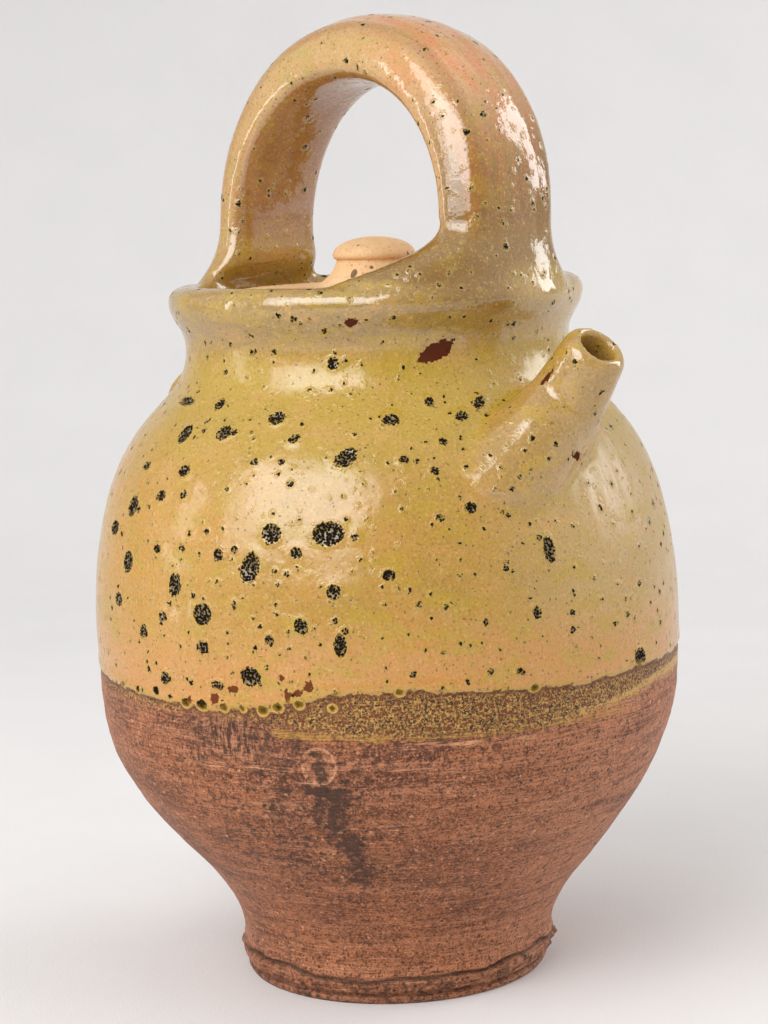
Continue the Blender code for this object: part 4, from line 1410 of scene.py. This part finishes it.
def snap_to_outline(body, section, away):
    """Pulls the skin back to the turned section where the added parts are away, and gives its gap from it."""
    points = places(body)
    radius = np.hypot(points[:, 0], points[:, 1])
    near, gap = nearest_on_line(radius, points[:, 2], join_lines(section, section[:1]))
    snap = ramp(away, *SNAP_AWAY) * (gap < SNAP_GAP)
    x, y = (points[:, k] / radius * near[:, 0] for k in range(2))
    move_to(body, mix(points, np.stack([x, y, near[:, 1]], axis=1), snap[:, None]))
    return gap


def soften(body, share):
    """Smooths the skin by a share at each point, so that the added parts flow into the wall."""
    group = body.vertex_groups.new(name="fillet")
    for index in np.nonzero(share > 0.01)[0]:
        group.add([int(index)], float(share[index]), "REPLACE")
    apply_modifier(body, "SMOOTH", factor=0.5, iterations=10, vertex_group="fillet")


def make_top(outline):
    """The jug above the split, with its handle, spout and ear melted into it."""
    low = SPLIT_HEIGHT - SPLIT_LAP
    outer = trim(join_lines(outline.belly(), outline.collar()), low, 1)
    inner = trim(outline.inside(), low, 1)
    section = respace(join_lines(outer, outline.rim(), outline.ledge(), inner), lambda point: BLANK_STEP)
    body = spin_line("jug_top", section, TOP_STEPS, closed=True)
    handle = Handle(outline)
    spout = Spout(outline)
    rod = spout.rod()
    tube = spout.build()
    cut(body, rod)
    cut(tube, rod)
    blanks = [handle.build(), tube, ear_blank(outline)]
    guides = [twin(blank) for blank in blanks] + [rod]
    melt(body, blanks)
    apart = [distances(guide, places(body)) for guide in guides]
    away = np.min(apart, axis=0)
    gap = snap_to_outline(body, section, away)
    soften(body, (1 - ramp(away, *FILLET_AWAY)) * (1 - ramp(gap, *FILLET_GAP)))
    for guide in guides:
        bpy.data.objects.remove(guide, do_unlink=True)
    points = places(body)
    depth = outline.radius_at(points[:, 2]) - np.hypot(points[:, 0], points[:, 1])
    outside = clamp((INNER_DEPTH - depth) / (2 * MM))
    outside = np.where(points[:, 2] > outline.rim_height, 1.0, outside)
    points += normals(body) * (relief(points) * outside)[:, None]
    move_to(body, points)
    points = places(body)
    spout_share = ramp(gap, 0.6 * MM, 3.0 * MM) * (apart[1] < np.minimum(apart[0], apart[2]))
    weights = skin_weights(points, spout_share) | strap_weights(points, normals(body), gap, handle)
    write_attributes(body, weights | {"spout": spout_share})
    only(body)
    with edit_mode("SELECT"):
        bpy.ops.mesh.bisect(plane_co=(0, 0, SPLIT_HEIGHT), plane_no=UP, use_fill=True, clear_inner=True)
    return body


def lid_section(outline):
    """Lid and knob in one line: underside, drop ring, seat, edge, top, knob neck, cap and dome."""
    under, top = outline.lid_under, outline.lid_top
    ring_outer = outline.ledge_radius - RING_PLAY
    ring_inner = ring_outer - RING_WALL
    half = RING_WALL / 2
    ring_end = arc((ring_inner + half, under - RING_DEPTH + half), half, half, 180, 360)
    corner = outline.sizes.lid_radius - LID_EDGE
    low = arc((corner, under + LID_EDGE), LID_EDGE, LID_EDGE, -90, 0, 8)
    high = arc((corner, top - LID_EDGE), LID_EDGE, LID_EDGE, 0, 90, 8)
    lead, follow, neck = ((x, top + rise) for x, rise in (KNOB_LEAD, KNOB_FOLLOW, KNOB_NECK))
    flare = bezier((KNOB_ROOT, top), lead, follow, neck, 30)
    centre = (CAP_CENTRE[0], neck[1] + CAP_CENTRE[1])
    cap = arc(centre, CAP_ROUND, CAP_ROUND, -90, 20, 12)
    dome = arc((0.0, centre[1]), cap[-1][0], DOME_RISE, 16, 90, 40)
    crown = [(0.0, centre[1] + DOME_RISE)]
    plate = [(0.0, under), (ring_inner, under)], ring_end, [(ring_outer, under)], low, high
    return join_lines(*plate, flare, cap, dome[:-1], crown)


def make_lid(outline):
    line = respace(lid_section(outline), lambda point: LID_STEP)
    piece = spin_line("lid_with_knob", line, LID_STEPS, closed=False)
    points = places(piece)
    uneven = 0.10 * lumps(points, 6 * MM, 21) + 0.05 * lumps(points, 2 * MM, 22) - 0.12
    points += normals(piece) * (MM * uneven)[:, None]
    move_to(piece, points)
    write_attributes(piece, {"mark": patch_depth(points, LID_MARKS)})
    return piece


def dress(piece, material, slot, body, *nodes):
    """Gives a finished piece its material, shading and body, and hides the nodes that it stands for."""
    piece.data.materials.clear()
    piece.data.materials.append(material)
    only(piece)
    bpy.ops.object.shade_smooth_by_angle(angle=CREASE)
    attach(piece, body)
    if nodes:
        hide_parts(*nodes)


# Panel values

def length(name, description, millimetres):
    settings = {"default": millimetres * MM, "min": 0.0, "precision": 4, "unit": "LENGTH"}
    return FloatProperty(name=name, description=description, **settings)


def angle(name, description, degrees):
    return FloatProperty(name=name, description=description, default=math.radians(degrees), unit="ROTATION")


def power(name, description, watts):
    return FloatProperty(name=name, description=description, default=watts, unit="POWER")


def amount(name, description, value):
    return FloatProperty(name=name, description=description, default=value, min=0.0)


def colour(name, description, *rgb):
    settings = {"default": rgb, "size": 3, "min": 0.0, "max": 1.0, "subtype": "COLOR"}
    return FloatVectorProperty(name=name, description=description, **settings)


class JugSizes(bpy.types.PropertyGroup):
    """Sizes of the jug, in metres."""

    foot_radius: length("Foot radius", "Radius of the base ring", 45.6)
    waist_radius: length("Waist radius", "Radius just above the foot", 46.8)
    waist_height: length("Waist height", "Height of the waist", 10.0)
    belly_radius: length("Belly radius", "Largest radius of the belly", 87.0)
    belly_height: length("Belly height", "Height of the largest radius", 94.6)
    neck_radius: length("Neck radius", "Radius of the neck", 56.1)
    neck_height: length("Neck height", "Height of the neck", 188.0)
    collar_height: length("Collar height", "From the neck to the top of the rim", 17.5)
    rim_radius: length("Rim radius", "Outer radius of the rim", 60.5)
    rim_thickness: length("Rim thickness", "Width of the rolled rim", 9.9)
    wall: length("Wall", "Thickness of the thrown wall", 6.5)
    floor: length("Floor", "Thickness of the floor", 8.0)
    lid_radius: length("Lid radius", "Radius of the lid", 40.5)
    lid_thickness: length("Lid thickness", "Thickness of the lid's plate", 4.4)
    lid_sink: length("Lid sink", "How far the lid lies below the rim", 1.7)
    strap_width: length("Strap width", "Width of the handle's strap", 34.5)
    leg_thickness: length("Leg thickness", "Thickness of the handle's legs", 15.0)
    arch_thickness: length("Arch thickness", "Thickness of the handle at its top", 20.0)
    leg_height: length("Leg height", "Height of the handle's straight legs over the rim", 18.1)
    arch_rise: length("Arch rise", "Height of the arch over its springing", 48.3)
    handle_lean: angle("Handle lean", "Lean of the handle to +Y", 4.0)
    spout_slope: angle("Spout slope", "Angle of the spout above the horizon", 47.8)
    spout_drop: length("Spout drop", "From the neck down to the spout's root", 20.6)
    spout_length: length("Spout length", "From the shoulder's skin to the lip", 27.4)
    spout_bore: length("Spout bore", "Radius of the bore", 5.3)
    spout_wall: length("Spout wall", "Wall of the spout at its mouth", 3.4)
    ear_width: length("Ear width", "Width of the rear ear", 24.0)
    ear_thickness: length("Ear thickness", "Thickness of the rear ear", 8.0)
    ear_drop: length("Ear drop", "From the neck down to the ear's top", 8.5)
    ear_height: length("Ear height", "Height of the ear", 35.0)
    ear_stand: length("Ear stand", "How far the ear stands out", 18.0)


class JugColours(bpy.types.PropertyGroup):
    """Colours of the fired clay and glaze, as linear values."""

    ochre: colour("Ochre", "Glaze over most of the belly", 0.44, 0.235, 0.042)
    ochre_deep: colour("Deep ochre", "Glaze where it lies thick", 0.38, 0.22, 0.035)
    olive: colour("Olive", "Greener glaze on the shoulder and in hollows", 0.42, 0.275, 0.022)
    orange: colour("Orange", "Warm glaze on the side away from the spout", 0.52, 0.26, 0.035)
    peach: colour("Peach", "Glaze near its lower edge", 0.54, 0.225, 0.045)
    beige: colour("Beige", "Thin glaze on the spout side", 0.45, 0.30, 0.11)
    collar: colour("Collar", "Grey-green glaze on the collar", 0.31, 0.195, 0.055)
    spout: colour("Spout", "Glaze on the spout", 0.37, 0.22, 0.055)
    grey: colour("Grey", "Crystals in the hollows of the spout side", 0.33, 0.27, 0.17)
    pink: colour("Pink", "Warm clouds in the glaze", 0.50, 0.27, 0.070)
    hollow: colour("Hollow", "Glaze pooled in hollows and round the blisters", 0.42, 0.265, 0.020)
    pool: colour("Pool", "Thick glaze along its lower edge", 0.44, 0.26, 0.03)
    pale: colour("Pale", "Small pale bubbles in the glaze", 0.66, 0.46, 0.18)
    handle_pink: colour("Handle pink", "Glaze on the outer face of the handle", 0.63, 0.24, 0.10)
    handle_peach: colour("Handle peach", "Paler clouds on the handle", 0.60, 0.33, 0.15)
    handle_olive: colour("Handle olive", "Glaze along the strap's edges", 0.45, 0.31, 0.085)
    # Brown glaze darkened with painted shade, for the strap's inner face and the groove on its -Y side.
    handle_shaded_brown: colour("Handle brown", "Glaze on the strap's inner face", 0.32, 0.145, 0.045)
    leg: colour("Leg brown", "Thick glaze on the spout-side leg", 0.30, 0.115, 0.014)
    rust: colour("Rust", "Small iron spots in the glaze", 0.050, 0.022, 0.008)
    smear: colour("Root brown", "Thick brown glaze over the handle's roots", 0.20, 0.095, 0.012)
    speck: colour("Speck", "Fine specks in the glaze", 0.12, 0.055, 0.016)
    iron: colour("Iron", "Iron blisters", 0.012, 0.009, 0.006)
    comb: colour("Honeycomb", "Walls between the blisters' pores", 0.16, 0.11, 0.045)
    bare: colour("Bare patch", "Dark clay where the glaze crawled away", 0.085, 0.022, 0.010)
    clay: colour("Clay", "Bare red clay", 0.36, 0.118, 0.042)
    clay_dark: colour("Dark clay", "Bare clay darkened by the fire", 0.16, 0.048, 0.019)
    # Also laid on as painted light, paler towards the clay's silhouettes.
    clay_light: colour("Light clay", "Bare clay, flashed paler", 0.50, 0.200, 0.098)
    salmon: colour("Salmon", "Pale grains and drags in the clay", 0.66, 0.31, 0.16)
    # Also the colour of the painted shade over the foot.
    soot: colour("Soot", "Smoke and pits in the clay", 0.050, 0.021, 0.012)
    band: colour("Band", "Dark ground of the speckled band", 0.17, 0.046, 0.016)
    band_gold: colour("Band gold", "Glaze specks in the band", 0.56, 0.30, 0.055)
    lid_clay: colour("Lid clay", "Bare clay of the lid", 0.72, 0.46, 0.23)
    lid_pale: colour("Pale lid clay", "Paler patches of the lid", 0.82, 0.58, 0.34)
    pores: colour("Lid pores", "Orange pores in the lid's clay", 0.50, 0.24, 0.09)
    wall: colour("Backdrop", "Backdrop behind the jug", 0.765, 0.752, 0.75)


class JugStage(bpy.types.PropertyGroup):
    """Where the camera stands and how strong the lamps are."""

    azimuth: angle("Azimuth", "Camera azimuth round the jug", 46.5)
    distance: length("Distance", "Camera distance from the jug's axis", 688.5)
    eye_height: length("Eye height", "Camera height", 230.3)
    pitch: angle("Pitch", "How far the camera looks down", 7.78)
    roll: angle("Roll", "How far the camera is turned about its own axis", 2.19)
    lens: amount("Lens", "Focal length in millimetres over a 24 mm high frame", 54.75)
    key_power: power("Key power", "Main softbox", 8.8)
    core_power: power("Core power", "Bright middle of the main softbox", 3.1)
    side_power: power("Side power", "Softer source to the right", 6.0)
    fill_power: power("Right fill power", "Dim wide source to the right, unseen in the glaze", 3.5)
    strip_power: power("Strip power", "Narrow source to the left", 1.2)
    ambient: amount("Ambient", "Light from the walls", 0.82)
    front: amount("Front", "Light from the side that the camera stands on", 0.36)


# Operators

class JUG_OT_body(bpy.types.Operator):
    """Throws the jug, adds its handle, spout and ear, and glazes it"""

    bl_idname = "jug.body"
    bl_label = "Make the jug"

    def execute(self, context):
        outline = Outline(context.scene.jug_sizes)
        material = fired_jug_material(context.scene.jug_colours)
        cup = make_cup(outline)
        top = make_top(outline)
        dress(cup, material, "ochre_glaze", "jug")
        dress(top, material, "ochre_glaze", "jug", "jug_body", "basket_handle", "spout", "rear_ear")
        return {"FINISHED"}


class JUG_OT_lid(bpy.types.Operator):
    """Turns the lid and its knob"""

    bl_idname = "jug.lid"
    bl_label = "Make the lid"

    def execute(self, context):
        lid = make_lid(Outline(context.scene.jug_sizes))
        dress(lid, bare_lid_material(context.scene.jug_colours), "lid_clay", "lid", "lid", "lid_knob")
        return {"FINISHED"}


def lamp(name, azimuth, elevation, distance, width, height, watts):
    """A rectangular softbox that faces the belly."""
    a, e = math.radians(azimuth), math.radians(elevation)
    direction = Vector((math.sin(a) * math.cos(e), -math.cos(a) * math.cos(e), math.sin(e)))
    light = bpy.data.lights.new(name, "AREA")
    light.shape = "RECTANGLE"
    light.size, light.size_y = width, height
    light.energy = watts
    item = bpy.data.objects.new(name, light)
    item.location = direction * distance + UP * LAMP_AIM
    item.rotation_euler = direction.to_track_quat("Z", "Y").to_euler()
    item.visible_glossy = name not in UNSEEN_IN_GLAZE
    bpy.context.scene.collection.objects.link(item)


def light_room(tree, front, stage):
    """Pale walls all round, darker on the side that the camera stands on."""
    place = tree.nodes.new("ShaderNodeTexCoord")
    facing = tree.nodes.new("ShaderNodeVectorMath")
    facing.operation = "DOT_PRODUCT"
    facing.inputs[1].default_value = front
    tree.links.new(place.outputs["Generated"], facing.inputs[0])
    spread = tree.nodes.new("ShaderNodeMapRange")
    spread.interpolation_type = "SMOOTHSTEP"
    low, high = FRONT_SPREAD
    limits = {"From Min": low, "From Max": high, "To Min": stage.ambient, "To Max": stage.front}
    for name, value in limits.items():
        spread.inputs[name].default_value = value
    tree.links.new(facing.outputs["Value"], spread.inputs["Value"])
    background = tree.nodes["Background"]
    background.inputs["Color"].default_value = WALL_LIGHT
    tree.links.new(spread.outputs["Result"], background.inputs["Strength"])


def place_camera(stage, right, ahead):
    look = ahead * math.cos(stage.pitch) - UP * math.sin(stage.pitch)
    top = UP * math.cos(stage.pitch) + ahead * math.sin(stage.pitch)
    across = right * math.cos(stage.roll) - top * math.sin(stage.roll)
    upward = right * math.sin(stage.roll) + top * math.cos(stage.roll)
    camera = bpy.data.cameras.new("camera")
    camera.sensor_fit = "VERTICAL"
    camera.sensor_height = FRAME_HEIGHT
    camera.lens = stage.lens
    camera.clip_start = NEAREST
    eye = bpy.data.objects.new("camera", camera)
    eye.matrix_world = Matrix((across, upward, -look)).transposed().to_4x4()
    eye.location = -ahead * stage.distance + UP * stage.eye_height
    bpy.context.scene.collection.objects.link(eye)
    bpy.context.scene.camera = eye


def lay_floor(ahead, tint):
    """A floor that turns up into the backdrop behind the jug."""
    deselect_all()
    bpy.ops.mesh.primitive_plane_add(size=FLOOR_SIZE)
    floor = bpy.context.object
    floor.name = "floor"
    with edit_mode():
        bpy.ops.mesh.subdivide(number_cuts=FLOOR_CUTS)
    for vertex in floor.data.vertices:
        behind = max(vertex.co.xy.dot(ahead.xy) - COVE_START, 0.0)
        vertex.co.z = behind * behind * COVE_RATE
    floor.data.materials.append(stage_material("pale_linen", tint))
    bpy.ops.object.shade_smooth()


class JUG_OT_stage(bpy.types.Operator):
    """Sets up the camera, the softboxes, the floor and the backdrop"""

    bl_idname = "jug.stage"
    bl_label = "Make the stage"

    def execute(self, context):
        stage = context.scene.jug_stage
        right = Vector((math.cos(stage.azimuth), math.sin(stage.azimuth), 0))
        ahead = Vector((-math.sin(stage.azimuth), math.cos(stage.azimuth), 0))
        place_camera(stage, right, ahead)
        for *placing, value in SOFTBOXES:
            lamp(*placing, getattr(stage, value))
        world = bpy.data.worlds.new("room")
        world.use_nodes = True
        light_room(world.node_tree, -ahead, stage)
        context.scene.world = world
        context.scene.view_settings.view_transform = "Standard"
        lay_floor(ahead, context.scene.jug_colours.wall)
        return {"FINISHED"}


class JUG_PT_panel(bpy.types.Panel):
    """Lists the steps in order, with the values that can be changed"""

    bl_idname = "JUG_PT_panel"
    bl_label = "Lidded water jug"
    bl_space_type = "VIEW_3D"
    bl_region_type = "UI"
    bl_category = "Jug"

    def draw(self, context):
        for step in STEPS:
            self.layout.operator(step.bl_idname)
        for group in (context.scene.jug_sizes, context.scene.jug_colours, context.scene.jug_stage):
            box = self.layout.box()
            for name in group.__annotations__:
                box.prop(group, name)


STEPS = (JUG_OT_body, JUG_OT_lid, JUG_OT_stage)
GROUPS = (JugSizes, JugColours, JugStage)


def register():
    for item in GROUPS + STEPS + (JUG_PT_panel,):
        bpy.utils.register_class(item)
    bpy.types.Scene.jug_sizes = PointerProperty(type=JugSizes)
    bpy.types.Scene.jug_colours = PointerProperty(type=JugColours)
    bpy.types.Scene.jug_stage = PointerProperty(type=JugStage)


def unregister():
    del bpy.types.Scene.jug_stage
    del bpy.types.Scene.jug_colours
    del bpy.types.Scene.jug_sizes
    for item in reversed(GROUPS + STEPS + (JUG_PT_panel,)):
        bpy.utils.unregister_class(item)


def main():
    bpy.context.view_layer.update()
    register()
    bpy.ops.jug.body()
    bpy.ops.jug.lid()
    bpy.ops.jug.stage()


if __name__ == "__main__":
    main()
